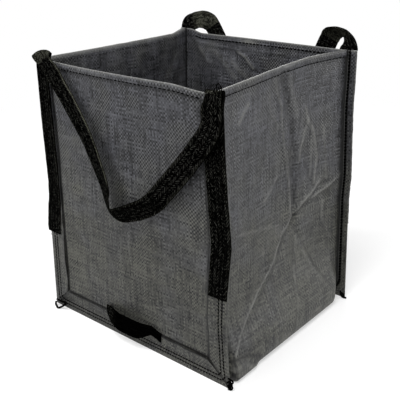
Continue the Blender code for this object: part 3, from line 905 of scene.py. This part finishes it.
def makePanel(name, side, cadNode):
    sheet = bmesh.new()
    wearAndLightLayer = sheet.verts.layers.float.new("wearAndPaintedLight")
    darkEdgesAndShadeLayer = sheet.verts.layers.float.new("darkEdgesAndShade")
    border, gap = bag["border"], panelCut["mitreGap"]
    fine, coarse = panelCut["fineStep"], panelCut["step"]
    across, up = fineNearEnds(-half, half), fineNearEnds(0, rim)

    def lay(u, v, toCut=None):
        u, v = np.broadcast_arrays(u, v)
        wornAndLit = panelWearAndLight(side, u, v)
        dark = np.minimum(mainLines(side, u, v) if toCut is None else borderLines(u, v, toCut), 1)
        for point, row, column in layGrid(sheet, panelPlace(side, u, v), paired(u, v)):
            point[wearAndLightLayer] = wornAndLit[row, column]
            point[darkEdgesAndShadeLayer] = dark[row, column]

    lay(across[None, :], up[:, None])
    arc, hemArc = math.pi * ply / 2, math.pi * ply
    pasts = np.array(evenly(0, arc, arc / 4) + evenly(arc, 0.020, fine)[1:]
                     + evenly(0.020, border - 0.0009, coarse)[1:] + [border])
    reach = np.clip((up - gap) / border, 0.02, 1)[:, None]
    for hand in hands.values():
        lay(hand * (half + pasts[None, :] * reach)[:, ::hand], up[:, None], (border - pasts)[None, ::hand])
    reach = np.clip((half - np.abs(across) - gap) / border, 0.02, 1)[None, :]
    lay(across[None, :], (-pasts[:, None] * reach)[::-1], (border - pasts)[::-1, None])
    hemPasts = np.array(evenly(0, hemArc, hemArc / 4) + evenly(hemArc, bag["hem"], fine)[1:])
    lay(across[None, :], rim + hemPasts[:, None])
    bmesh.ops.remove_doubles(sheet, verts=sheet.verts, dist=panelCut["merge"])
    if side == back:
        bmesh.ops.reverse_faces(sheet, faces=sheet.faces)
    piece = finishPiece(name, sheet, panelFinish, "bag", [cadNode])
    thicken(piece, panelCut["thickness"])
    flat = (2 * (half + border), rim + border + bag["hem"])
    missing = 4 * border**2 + 2 * border * bag["hem"]
    flat[0] * flat[1] - missing


makePanel("frontPanel", front, "front_panel")
makePanel("backPanel", back, "back_panel")
print("panels made")


# side strip: left wall, base and right wall in one length

stripCut = {
    "rightStep": 0.0026,  # between points up the right wall, which shows its creases
    "leftStep": 0.0060,
    "baseStep": 0.010,
    "acrossStep": 0.0030,
    "finStep": 0.0014,
    "hemStep": 0.0028,
    "thickness": 0.0009,
    "plyGap": 0.00008,
}


def stripStations():
    # places down the left wall, along the base and up the right, each with its outward way
    low = bag["fin"] + bag["baseCorner"]
    wall = bag["width"] / 2
    right, left = ([(wall, z, 1.0, 0.0) for z in evenly(low, rim, stripCut[step])[1:]]
                   for step in ("rightStep", "leftStep"))
    corner = []
    for angle in np.linspace(-math.pi / 2, 0, 15):
        nx, nz = math.cos(angle), math.sin(angle)
        corner.append((wall + bag["baseCorner"] * (nx - 1), low + bag["baseCorner"] * nz, nx, nz))
    start = corner[0][0]
    base = [(x, bag["fin"], 0.0, -1.0) for x in evenly(-start, start, stripCut["baseStep"])[1:-1]]
    leftSide = [(-x, z, -nx, nz) for x, z, nx, nz in (corner + left)[::-1]]
    return np.array(leftSide + base + corner + right)


def layStripHem(sheet, hand, shares, downEnd):
    # hem of a wall, turned outward
    radius = stripCut["thickness"] + stripCut["plyGap"]
    arc = math.pi * radius
    pasts = np.array(evenly(0, arc, arc / 5) + evenly(arc, bag["hem"], stripCut["hemStep"])[1:])
    outs, beyond = foldOver(pasts, radius)
    noise = 0.3 * cloudy(shares, 0.4 * hand, 0.05, 5)
    swell = hemSwell(pasts[:, None], noise) * rising(np.minimum(shares, 1 - shares), 0, 0.04)
    level = rim + beyond[:, None]
    places = stripPoint(hand * bag["width"] / 2, level, float(hand), 0.0, shares[None, :],
                        outs[:, None] + swell)
    down = (downEnd + pasts if hand > 0 else -pasts)[:, None]
    layGrid(sheet, places[::hand], paired((bag["fin"] + shares * bag["depth"])[None, :], down)[::hand])


def paintStrip(piece, width, length):
    flatOf = np.zeros((len(piece.data.vertices), 2))
    uv = piece.data.uv_layers.active.uv
    for loop in piece.data.loops:
        flatOf[loop.vertex_index] = uv[loop.index].vector
    across, down = flatOf.T
    fromRim = np.minimum(np.abs(down + 0.001), np.abs(down - length - 0.001))
    fromEdge = np.minimum(across, width - across)
    y = across - bag["fin"] - halfDepth
    onRight, atBack = down > length / 2, y > 0
    z = rim - np.where(onRight, length - down, down)
    # the wrinkles: whitened cloth with painted highlight on their lit sides, and painted shade in their
    # valleys
    paleAndShade = np.where(onRight, wrinkleLightAndShade(y, z, "right"), wrinkleLightAndShade(y, z, "left"))
    lightened = [
        mark("wallRim", fromRim),
        mark("finEdge", fromEdge),
        mark("wallScuff", y) * mark("wallRimScuff", fromRim) * onRight,
        mark("betweenSeams", fromEdge) * atBack * (0.75 + 0.25 * cloudy(down, 0.5, 0.004, 3)),
    ]
    # painted shade under the raw edge of the hem
    shaded = mark("hemEdgeShade", fromRim - bag["hem"])
    # the seams' dark stitching, with painted shade in their valleys and, at the back, in the inner corner
    seamThreadAndShade = mark("seam", fromEdge) * np.where(atBack, 1.5, 0.5) + mark("backSeamShade", fromEdge) * atBack
    paint(piece, "wearAndPaintedLight", np.clip(strongest(lightened) + paleAndShade - shaded, -1, 1))
    paint(piece, "darkEdgesAndShade", np.clip(seamThreadAndShade, 0, 1))


def makeStrip():
    stations = stripStations()
    x, z, nx, nz = (stations[:, i, None] for i in range(4))
    down = lengthAlong(stations[:, :2])
    radius = bag["finTurn"]
    turn = [(r, radius - math.sqrt(radius**2 - (radius - r) ** 2))
            for r in radius * np.array([1, 0.7, 0.4, 0.2, 0.07])]
    fin = [(r, 0.0) for r in evenly(bag["fin"], radius, stripCut["finStep"])[:-1]] + turn
    shares = np.array(evenly(0, 1, stripCut["acrossStep"] / bag["depth"]))
    columns = [finPoint(x, z, nx, nz, front, inset, reach) for reach, inset in fin]
    columns += [stripPoint(x, z, nx, nz, share) for share in shares]
    columns += [finPoint(x, z, nx, nz, back, inset, reach) for reach, inset in fin[::-1]]
    places = np.concatenate([column.reshape(-1, 1, 3) for column in columns], axis=1)
    finWidths = bag["fin"] - np.array([reach for reach, inset in fin])
    width = 2 * bag["fin"] + bag["depth"]
    across = np.concatenate([finWidths, bag["fin"] + shares * bag["depth"], width - finWidths[::-1]])
    sheet = bmesh.new()
    layGrid(sheet, places, paired(across[None, :], down[:, None]))
    for hand in hands.values():
        layStripHem(sheet, hand, shares, down[-1])
    bmesh.ops.remove_doubles(sheet, verts=sheet.verts, dist=panelCut["merge"])
    bmesh.ops.reverse_faces(sheet, faces=sheet.faces)
    piece = finishPiece("sideStrip", sheet, stripFinish, "bag", ["side_strip"])
    paintStrip(piece, across[-1], down[-1])
    thicken(piece, stripCut["thickness"], 1.0)


makeStrip()
print("strip made")


# webbing

strapShape = {
    "crown": 0.00025,  # the middle stands proud of the edges
    "waver": 0.00035,  # unevenness of the woven edges
    "columns": 10,
    "body": 0.0016,
    "rounding": 0.0005,
}
handleFront = {
    "leftRadius": 0.006, "leftTilt": 27, "rightRadius": 0.0032, "rightTilt": 2, "drop": 0.222,
    "edgeHighlight": 4.5, "edgeHighlightTo": 0.240,  # painted highlight on the upper edge of its left branch, and how far down it reaches
    "route": [(-0.655, 0.190, 2), (-0.460, 0.374, 4), (-0.335, 0.509, 9), (-0.165, 0.779, 18),
              (-0.126, 0.890, 30), (-0.096, 0.962, 34), (-0.022, 0.990, 36), (0.065, 0.972, 32),
              (0.155, 0.940, 28), (0.250, 0.903, 26), (0.410, 0.822, 23), (0.555, 0.690, 8),
              (0.725, 0.530, 2), (0.875, 0.375, 0), (0.975, 0.255, 0), (1.020, 0.150, 2)],
}
handleBack = {
    "span": 0.052, "lift": 0.018, "turn": 148, "leftRise": 0.024, "leftTwist": 25,
    "rightRise": 0.026, "rightTwist": -55, "drop": 0.215, "edgeHighlight": 0, "edgeHighlightTo": 0,
    "route": [(-0.46, 0.40, 30), (-0.26, 0.74, 55), (-0.09, 0.96, 72), (0.09, 0.96, 72),
              (0.26, 0.74, 55), (0.46, 0.40, 30)],
}
legStray = [(151, -4.5), (161, -6), (190, -2.5), (215, 0), (461, 0)]  # the front left one overhangs
legStep = 0.004
cut = 0.0009  # between the stretches that one strap is cut into
hangClearance = 0.004
steerStep = 0.001  # in metres or radians, gives a curve's heading
legMiddle = legInner + webbing["thickness"] / 2
legX = half - webbing["width"] / 2
strapShares = np.linspace(-1, 1, strapShape["columns"] + 1)

foldSag = {
    "sinkFrom": rim + 0.006,  # the tall left fold sinks from here up
    "sinkSoft": 0.003,
    "sink": 0.27,
    "slide": 0.30,  # and slides inward
    "leftDrop": 0.0030,
    "leftDropUp": (rim - 0.010, 0.012),  # start and reach in height, and across below
    "spread": 0.0100,  # how far it flares towards the bag's middle
    "spreadUp": (rim - 0.034, 0.048),
    "spreadAcross": (-0.190, 0.034),
    "dome": 0.0032,
    "domeUp": (rim + 0.002, 0.012),
    "domeTo": 0.85,
    "crest": (-0.198, 0.053),
    "shoulder": 0.0060,
    "shoulderAcross": (0.70, 0.30),
    "rightAcross": (0.10, 0.05),
    "rightDrop": -0.0035,
    "rightTilt": 0.0030,
    "rightDropUp": (rim - 0.07, 0.06),
    "gather": 0.0130,  # how far its inner edge draws outward
    "gatherUp": (rim - 0.035, 0.03),
    "gatherFrom": half - 0.008,
}


def sagged(places):
    # the front folds are soft: the left one slumps inward, the right one sits low at its inner end
    x, y, z = places[..., 0], places[..., 1], places[..., 2]
    onLeft, onRight = (y < 0) * (x < -0.1), (y < 0) * rising(x, *foldSag["rightAcross"])
    above = np.maximum(0, z - foldSag["sinkFrom"]) * onLeft
    above = above * above / (above + foldSag["sinkSoft"])
    inner = np.clip((foldSag["gatherFrom"] - x) / webbing["width"], 0, 1)
    rightDrop = (foldSag["rightDrop"] + foldSag["rightTilt"] * inner) * rising(z, *foldSag["rightDropUp"])
    drop = rightDrop * onRight + foldSag["leftDrop"] * rising(z, *foldSag["leftDropUp"]) * onLeft
    gather = foldSag["gather"] * inner * onRight * rising(z, *foldSag["gatherUp"])
    spread = rising(z, *foldSag["spreadUp"]) * rising(x, *foldSag["spreadAcross"]) * onLeft
    settled = x + above * foldSag["slide"] + foldSag["spread"] * spread + gather
    start, reach = foldSag["crest"]
    share = np.clip((settled - start) / reach, 0, 1)
    dome = foldSag["dome"] * np.sin(np.pi * np.clip(share / foldSag["domeTo"], 0, 1))
    dome = dome - foldSag["shoulder"] * rising(share, *foldSag["shoulderAcross"])
    dome = dome * rising(z, *foldSag["domeUp"]) * onLeft
    return np.stack([settled, y, z - above * foldSag["sink"] - drop + dome], axis=-1)


def layStrap(places, length):
    sheet = bmesh.new()
    layGrid(sheet, places, paired(((strapShares + 1) * webbing["width"] / 2)[None, :], length[:, None]))
    return sheet


def strapPiece(name, centres, across, outwards, body, cadNode, lowerEdge=None, wearAndPaintedLight=0.0, edgeWear=0.3,
               edgeHighlight=0.0, edgeHighlightTo=0.0):
    # centres, ways across and outward ways, one of each for every station of the strap
    length = lengthAlong(centres)
    waver = strapShape["waver"] / (webbing["width"] / 2) * cloudy(length, 0.3, 0.006, 6)
    crowned = strapShape["crown"] * (0.5 - strapShares**2)
    offsets = strapShares[None, :] * webbing["width"] / 2 * (1 + waver)[:, None]
    if lowerEdge is not None:
        offsets = np.where(strapShares < 0, offsets * lowerEdge[:, None], offsets)
    points = centres[:, None, :] + across[:, None, :] * offsets[:, :, None]
    points = points + outwards[:, None, :] * crowned[None, :, None]
    sheet = layStrap(sagged(points) if name.startswith("front") else points, length)
    piece = finishPiece(name, sheet, webbingFinish, body, [cadNode])
    frayed = edgeWear * (0.6 + 0.4 * cloudy(length, 0.7, 0.03, 2))[:, None]
    frayed = frayed * rising(np.abs(strapShares), 0.85, 0.15)
    # painted highlight along the lit upper edge
    lit = edgeHighlight * (strapShares > 0.9) * rising(length, edgeHighlightTo, -0.02)[:, None]
    wornAndLit = (wearAndPaintedLight * rising(length, 0.012, 0.022))[:, None] + 0 * frayed
    paint(piece, "wearAndPaintedLight", np.where(wornAndLit < 0, wornAndLit, strongest([frayed, lit, wornAndLit])))
    thicken(piece, strapShape["body"])
    rounded = piece.modifiers.new("selvedge", "BEVEL")
    rounded.width = strapShape["rounding"]
    rounded.segments = 2
    rounded.limit_method = "ANGLE"
    rounded.angle_limit = math.radians(50)
    return piece


def ribbon(side, steered, twists):
    # a twist of 0 keeps a strap flat to its panel, 90 stands it on edge; the two end points only steer
    twists = np.radians(twists)[:, None]
    centres = steered[1:-1]
    before, after = steered[:-2].copy(), steered[2:].copy()
    before[-1], after[0] = centres[-1], centres[0]
    way = unit(after - before)
    outward = np.array([0.0, side, 0.0])
    flat = unit(np.cross(way, outward)) * side
    lifted = unit(outward - way * (way @ outward)[:, None])
    across = flat * np.cos(twists) + lifted * np.sin(twists)
    return centres, across, unit(np.cross(across, way)) * side


def makeLeg(name, side, hand, cadNode):
    heights = np.array(evenly(legFoot, rim, legStep))
    stray = along(heights, legStray) if (side, hand) == (front, -1) else 0 * heights
    centres = onPanel(side, hand * legX + stray, heights, legMiddle)
    edge = onPanel(side, hand * (legX + 0.008) + stray, heights, legMiddle)
    across = unit(edge - centres)
    outward = unit(np.cross(across, unit(np.gradient(centres, axis=0))))
    outward = outward * np.sign(outward[:, 1:2] * side)
    strapPiece(name, centres, across * (-1 if hand == side else 1), outward, "bag", cadNode)


def legLean(side):
    inner, outer = (bulge(side, legX - webbing["width"] * s, rim) for s in (0.5, -0.5))
    return math.degrees(math.atan2(inner - outer, webbing["width"]))


def frontFold(radius, tilt):
    # how the strap wraps over a slanting round edge
    angle = math.radians(tilt)
    cos, sin = math.cos(angle), math.sin(angle)
    foot = webbing["width"] / 2 * sin + cut
    wrapped = foot + math.pi * radius

    def wrap(across, on):
        alongEdge = across * cos + on * sin
        overEdge = on * cos - across * sin
        turned = np.clip((overEdge - foot) / radius, 0, math.pi)
        height = np.minimum(overEdge, foot) + radius * np.sin(turned) - np.maximum(0, overEdge - wrapped)
        return (alongEdge * cos - height * sin, alongEdge * sin + height * cos,
                radius * (1 - np.cos(turned)))

    return wrap, (wrapped + webbing["width"] / 2 * sin) / cos


def makeFrontBend(name, hand, radius, tilt, wearAndPaintedLight, cadNode):
    wrap, end = frontFold(radius, tilt)
    ons = np.linspace(0, end + cut, 46)
    beside, above, out = wrap(strapShares[None, :] * webbing["width"] / 2, ons[:, None])
    places = onPanel(front, hand * (legX - beside), rim + above, legMiddle + out, False)
    sheet = layStrap(sagged(places), ons)
    if hand < 0:
        bmesh.ops.reverse_faces(sheet, faces=sheet.faces)
    piece = finishPiece(name, sheet, webbingFinish, None, [cadNode])
    paint(piece, "wearAndPaintedLight", np.full(len(piece.data.vertices), wearAndPaintedLight))
    thicken(piece, strapShape["body"])
    (x0, z0, out), (x1, z1, out) = wrap(0, end), wrap(0, end + cut)
    start = np.array([legX - x1, rim + z1, legMiddle + out, legLean(front)])
    return piece, start, unit(np.array([x0 - x1, z1 - z0, 0, 0]))


def makeBackBend(name, hand, rise, twist, cadNode):
    def arch(angle):
        way = (1 - math.cos(angle)) / 2
        up = rise * math.sin(angle)
        lean = twist * math.sin(angle) ** 2 - legLean(back) * math.cos(angle)
        out = legMiddle + handleBack["lift"] * way
        return np.array([legX - handleBack["span"] * way, rim + up, out, lean])

    end = math.radians(handleBack["turn"])
    points = np.array([arch(angle) for angle in np.linspace(0, end, 48)])
    way = unit((arch(end + steerStep) - arch(end)) * [1, 1, 1, 0])
    points = np.vstack([points, arch(end) + way * cut])
    steered = np.vstack([arch(-steerStep), points, points[-1] + way * steerStep])
    centres = onPanel(back, hand * steered[:, 0], steered[:, 1], steered[:, 2], False)
    # painted highlight over the arch, past its foot
    piece = strapPiece(name, *ribbon(back, centres, -hand * points[:, 3]), None, cadNode, wearAndPaintedLight=1.0)
    return piece, points[-1], way


def throughPoints(points, leave, arrive, steps):
    # a smooth curve through points of place and twist, that leaves and arrives in the ways given
    first = np.linalg.norm((points[1] - points[0])[:3])
    last = np.linalg.norm((points[-1] - points[-2])[:3])
    ends = [points[1] - leave * 2 * first, *points, points[-2] + arrive * 2 * last]
    curve = []
    for before, start, end, after in zip(ends, ends[1:], ends[2:], ends[3:]):
        for t in np.arange(steps) / steps:
            bend = 2 * before - 5 * start + 4 * end - after
            turn = 3 * start - before - 3 * end + after
            curve.append(start + (t * (end - before) + t * t * bend + t**3 * turn) / 2)
    return np.array(curve + [points[-1]])


def makeLoop(name, side, leftEnd, rightEnd, shape, body, cadNode):
    (start, leave), (end, arrive) = leftEnd, rightEnd
    flip = np.array([-1, 1, 1, 1])
    points = [start * flip]
    for share, down, twist in shape["route"]:
        edge = math.sin(math.radians(twist)) * webbing["width"] / 2
        out = legInner + 2 * webbing["thickness"] + hangClearance + edge
        points.append(np.array([share * legX, rim - down * shape["drop"], out, twist]))
    points.append(end)
    leave = leave * flip
    curve = throughPoints(points, leave, -arrive, 12)
    steered = np.vstack([curve[0] - leave * steerStep, curve, curve[-1] - arrive * steerStep])
    centres, across, outward = ribbon(side, onPanel(side, *steered[:, :3].T, False), curve[:, 3])
    piece = strapPiece(name, centres, across, outward, body, cadNode, edgeWear=0.5,
                       edgeHighlight=shape["edgeHighlight"], edgeHighlightTo=shape["edgeHighlightTo"])
    length = float(lengthAlong(centres)[-1])
    print(name, "length", round(length, 4))


for sideName, side in sides.items():
    for handName, hand in hands.items():
        makeLeg(sideName + handName.capitalize() + "Leg", side, hand, f"{sideName}_{handName}_leg")
leftFold = makeFrontBend("frontLeftBend", -1, handleFront["leftRadius"], handleFront["leftTilt"], 0.6,
                         "front_left_bend")
rightFold = makeFrontBend("frontRightBend", 1, handleFront["rightRadius"], handleFront["rightTilt"], 0.25,
                          "front_right_bend")
leftArch = makeBackBend("backLeftBend", -1, handleBack["leftRise"], handleBack["leftTwist"], "back_left_bend")
rightArch = makeBackBend("backRightBend", 1, handleBack["rightRise"], handleBack["rightTwist"],
                         "back_right_bend")
makeLoop("frontHandleLoop", front, leftFold[1:], rightFold[1:], handleFront, "front_handle",
         "front_handle_loop")
makeLoop("backHandleLoop", back, leftArch[1:], rightArch[1:], handleBack, "back_handle",
         "back_handle_loop")
print("handles made")

pull = {
    "half": 0.064,
    "top": 0.0500,
    "bow": 0.012,
    "droop": -0.0040,
    "tail": 0.0075,  # how far the right end falls
    "tailFrom": (0.68, 0.32),
    "stations": 61,
    # share of the lower half that shows, by place in mm; the rest is tucked in behind the border
    "showing": [(-66, -200), (-62, 200), (-56, 850), (-50, 1000), (10, 1000), (20, 850), (31, 550), (40, 200),
                (47, -100), (56, -500), (64, -850), (67, -900)],
}


def makePullLoop():
    shares = np.linspace(-1, 1, pull["stations"])
    x = shares * pull["half"]
    off = legMiddle + pull["bow"] * smooth(1.35 * (1 - np.abs(shares)))
    middle = pull["top"] - webbing["width"] / 2
    middle = middle - pull["droop"] * (1 - shares**2) - pull["tail"] * rising(shares, *pull["tailFrom"])
    centres = onPanel(front, x, middle, off, False)
    across = unit(onPanel(front, x, middle + 0.01, off, False) - centres)
    outward = unit(np.cross(across, np.gradient(centres, axis=0)))
    outward = outward * np.sign(-outward[:, 1:2])
    # the pull loop is painted in shade all over
    piece = strapPiece("pullLoop", centres, across, outward, "pull_loop", "pull_loop",
                       lowerEdge=along(x, pull["showing"]), wearAndPaintedLight=-1.0)
    length = float(lengthAlong(centres)[-1])
    print("pullLoop length", round(length, 4))


makePullLoop()


# stitching

stitchShape = {
    "wide": 1.2,  # shares of the thread's radius
    "tall": 0.9,
    "long": 0.42,  # shares of the pitch
    "uneven": 0.05,
    "askew": 0.16,
    "off": 0.0003,  # from the cloth to the middle of a stitch
    "under": 0.0002,
}


def resample(points, pitch):
    length = lengthAlong(points)
    count = max(2, round(length[-1] / pitch))
    at = (np.arange(count) + 0.5) * length[-1] / count
    read = lambda where: np.stack([np.interp(where, length, points[:, i]) for i in range(3)], axis=-1)
    reach = pitch * 0.35
    return read(at), unit(read(at + reach) - read(at - reach)), length[-1] / count


def makeStitches(name, rows, pitch, cadNode):
    # rows: points, the way that their face looks and how thick the thread is
    single = bmesh.new()
    bmesh.ops.create_uvsphere(single, u_segments=6, v_segments=5, radius=1.0)
    stitch = bpy.data.meshes.new("stitch")
    single.to_mesh(stitch)
    single.free()
    sheet = bmesh.new()
    chance = np.random.default_rng(len(name))
    for points, outward, thread in rows:
        centres, ways, step = resample(points, pitch)
        outward = np.array(outward, float)
        for centre, way, random in zip(centres, ways, chance.random((len(centres), 3)) - 0.5):
            way = unit(way + np.cross(outward, way) * random[0] * stitchShape["askew"])
            normal = unit(outward - way * (outward @ way))
            turn = Matrix((np.cross(normal, way), normal, way)).transposed().to_4x4()
            size = (thread * stitchShape["wide"], thread * stitchShape["tall"],
                    step * (stitchShape["long"] + stitchShape["uneven"] * random[1]))
            place = Matrix.Translation(Vector(centre)) @ turn @ Matrix.Diagonal((*size, 1))
            stitch.transform(place)
            sheet.from_mesh(stitch)
            stitch.transform(place.inverted())
    bpy.data.meshes.remove(stitch)
    finishPiece(name, sheet, threadFinish, "bag", [cadNode])


def seamRow(side, inset):
    low = 2 * panelCut["thickness"] + stitchShape["off"]
    high = legInner + webbing["thickness"] + 0.0001
    corner = stitching["rowCorner"]
    edge, turn, leg = half - inset, inset + corner, legFoot - stitching["rowStep"]
    climbing = [(edge - corner * (1 - math.cos(angle)), turn + corner * math.sin(angle), low)
                for angle in np.linspace(-math.pi / 2, 0, 9)]
    climbing += [(edge, z, low) for z in evenly(turn, leg, stitching["rowSteps"])[1:]]
    climbing += [(edge, z, high) for z in evenly(legFoot + 0.0005, rim - 0.016, stitching["rowSteps"])]
    row = np.array([(-x, z, out) for x, z, out in climbing[::-1]] + climbing)
    return onPanel(side, row[:, 0], row[:, 1], row[:, 2])


def finRow(side, inset):
    # the same row on the strip's face of the seam, seen from the walls
    x, z, nx, nz = stripStations().T
    return finPoint(x, z, nx, nz, side, stripCut["thickness"] + stitchShape["under"], bag["fin"] - inset)


for sideName, side in sides.items():
    outward, inward = (0.0, side, 0.0), (0.0, -side, 0.0)
    thread = stitching["thread"]
    for rowName, inset in stitching["rows"].items():
        rows = [(seamRow(side, inset), outward, thread),
                (finRow(side, stitching["stripRows"][rowName]), inward, stitching["looper"][side])]
        makeStitches(sideName + rowName.capitalize() + "Stitches", rows, stitching["finPitch"],
                     f"{sideName}_{rowName}_seam")
    end = half - webbing["width"] - stitching["rowEnd"]
    places = np.array(evenly(-end, end, stitching["rowSteps"]))
    outside, inside = (onPanel(side, places, rim - stitching["rimRow"], out)
                       for out in (3 * panelCut["thickness"] + 0.0004, -stitchShape["under"]))
    makeStitches(sideName + "RimStitches", [(outside, outward, thread), (inside, inward, thread)],
                 stitching["rimPitch"], f"{sideName}_rim_seam")

for handName, hand in hands.items():
    shares = np.linspace(0.015, 0.985, 90)
    level = np.full(90, rim - stitching["rimRow"])
    outside, inside = (stripPoint(hand * bag["width"] / 2, level, float(hand), 0.0, shares, out)
                       for out in (2 * stripCut["thickness"] + stitchShape["off"], -stitchShape["under"]))
    makeStitches(handName + "RimStitches", [(outside, (hand, 0.0, 0.0), stitching["thread"]),
                                            (inside, (-hand, 0.0, 0.0), stitching["thread"])],
                 stitching["rimPitch"], f"{handName}_rim_seam")
print("stitching made")


# loose ends of thread and frayed tapes, as points in mm and a radius in mm

looseThreads = {
    "threadTails": (threadFinish, 1.9, [
        [(-203, -182, 7), (-201, -185, 3), (-196, -187, 1.9), (-188, -190, 1.9), (-183, -187, 4),
         (-177, -185, 9), (-172, -184, 15), (-182, -184, 14), (-192, -183, 13), (-200, -182, 12)],
        [(-176, -184, 16), (-172, -185, 13), (-170, -185, 18)],
        [(196, 177, 12), (199, 174, 6), (203, 172, 3), (207, 173, 2.4), (210, 175, 2.0)],
        [(199, 177, 9), (204, 174, 6), (206, 171, 2.0)],
    ]),
    "knottedThreads": (threadFinish, 1.5, [
        [(203, -180, 21), (208, -180, 21), (211, -178, 16), (206, -181, 11), (210, -178, 6),
         (208, -179, 2.2), (203, -180, 2.2)],
        [(204, -181, 18), (208, -181, 14), (204, -182, 9), (209, -179, 3)],
        [(202, -181, 14), (206, -182, 16), (210, -179, 11), (205, -181, 5)],
        [(207, -180, 19), (208, -180, 13), (208, -180, 7), (206, -180, 3)],
    ]),
    "rimTuft": (threadFinish, 0.75, [
        [(190, -186, 458), (188, -187, 465), (189, -187, 472), (192, -187, 473), (195, -187, 467)],
        [(193, -186, 460), (196, -187, 465), (197, -188, 470)],
        [(186, -186, 458), (184, -187, 463), (186, -188, 467)],
        [(191, -186, 459), (193, -187, 466), (191, -188, 469)],
    ]),
    "frayedTapes": (paleFinish, 0.3, [
        [(-200, -179, 152), (-201, -179.5, 148), (-199, -179.5, 144)],
        [(-194, -179, 152), (-193, -179.5, 147), (-195, -179.5, 143)],
        [(-188, -179, 152), (-189, -179.5, 149), (-186, -179.5, 145)],
        [(-181, -179, 152), (-180, -179.5, 147), (-182, -179.5, 144)],
        [(-174, -179, 152), (-172, -179.5, 148), (-173, -179.5, 145)],
    ]),
}


def makeLooseThreads(name, finish, radius, strands):
    curve = bpy.data.curves.new(name, "CURVE")
    curve.dimensions = "3D"
    curve.bevel_depth = radius / 1000
    curve.bevel_resolution = 1
    curve.resolution_u = 6
    curve.use_fill_caps = True
    for strand in strands:
        spline = curve.splines.new("BEZIER")
        spline.bezier_points.add(len(strand) - 1)
        for point, place in zip(spline.bezier_points, strand):
            point.co = [value / 1000 for value in place]
            point.handle_left_type = point.handle_right_type = "AUTO"
    curve.materials.append(finish)
    piece = addObject(name, curve)
    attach(piece, "bag")


for name, (finish, radius, strands) in looseThreads.items():
    makeLooseThreads(name, finish, radius, strands)
print("loose threads made")


# the bends between the bag and a handle, baked in place


def blendStrap(piece, way):
    # bakes the piece's place into its points; the reach of its first and last rows along the way given is
    # found but not used
    rows = np.array([point.co for point in piece.data.vertices]).reshape(-1, len(strapShares), 3)
    way = unit(np.array(way))
    start, end = way * (rows[0] @ way).max(), way * (rows[-1] @ way).min()
    tuple(start)
    tuple(end)
    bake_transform(piece)


blendStrap(leftFold[0], (-0.07, -1.00, 0.01))
blendStrap(rightFold[0], (0.12, -0.98, 0.16))
blendStrap(leftArch[0], (0.69, 0.70, -0.18))
blendStrap(rightArch[0], (-0.31, 0.70, 0.64))


# floor, world and lamps

studio = {
    "floor": (0.62, 0.62, 0.62, 1),
    "floorSize": 25.0,
    "floorGlow": 0.46,
    "whiteFrom": 0.55,  # distance from the bag where the floor starts to turn white
    "whiteAt": 1.6,
    "world": 0.32,
    "aim": (0, 0, 0.22),
    "lamps": [  # name, place, size, watts
        ("key", (-1.7, -1.5, 2.1), 0.40, 28),
        ("right", (2.2, 1.5, 0.50), 0.8, 24),
        ("top", (0.5, -1.0, 2.8), 1.3, 37),
        ("inside", (0.25, -0.45, 1.30), 0.45, 3.8),
        ("rear", (-1.6, 2.2, 1.4), 1.4, 20),
    ],
}


def seenRays(tree):
    # 1 for what the camera sees, also in a reflection or through something clear
    path = node(tree, "ShaderNodeLightPath")
    return path["Is Camera Ray"].atLeast(path["Is Glossy Ray"]).atLeast(path["Is Transmission Ray"])


def addFloor():
    sheet = bmesh.new()
    bmesh.ops.create_grid(sheet, x_segments=1, y_segments=1, size=studio["floorSize"])
    mesh = bpy.data.meshes.new("floor")
    sheet.to_mesh(mesh)
    sheet.free()
    made, tree, surface = startMaterial("studio floor")
    surface["Base Color"].default_value = studio["floor"]
    surface["Roughness"].default_value = 0.9
    seen = seenRays(tree)
    glow = node(tree, "ShaderNodeEmission", {"Strength": seen * studio["floorGlow"]})[0]
    lit = wiresOf(tree.nodes["Principled BSDF"])[0]
    near = node(tree, "ShaderNodeAddShader", {0: lit, 1: glow})[0]
    away = node(tree, "ShaderNodeVectorMath", {0: bagPlace(tree)}, operation="LENGTH")["Value"]
    share = seen * away.spread(0.0, 1.0, studio["whiteFrom"], studio["whiteAt"])
    white = node(tree, "ShaderNodeEmission", {"Strength": 1.0})[0]
    whole = node(tree, "ShaderNodeMixShader", {0: share, 1: near, 2: white})[0]
    whole.into(tree.nodes["Material Output"].inputs["Surface"])
    mesh.materials.append(made)
    addObject("floor", mesh)


def addWorld():
    world = bpy.data.worlds.new("studio")
    world.use_nodes = True
    background = world.node_tree.nodes["Background"].inputs
    background["Color"].default_value = (1, 1, 1, 1)
    seenRays(world.node_tree).spread(studio["world"], 1.0).into(background["Strength"])
    bpy.context.scene.world = world


def addLamps():
    for name, place, size, watts in studio["lamps"]:
        data = bpy.data.lights.new(name, "AREA")
        data.energy = watts
        data.size = size
        lamp = addObject(name, data)
        lamp.location = place
        lamp.rotation_euler = (Vector(studio["aim"]) - Vector(place)).to_track_quat("-Z", "Y").to_euler()


addFloor()
addWorld()
addLamps()
bpy.context.scene.view_settings.view_transform = "Standard"
print("studio set")

bpy.context.view_layer.update()
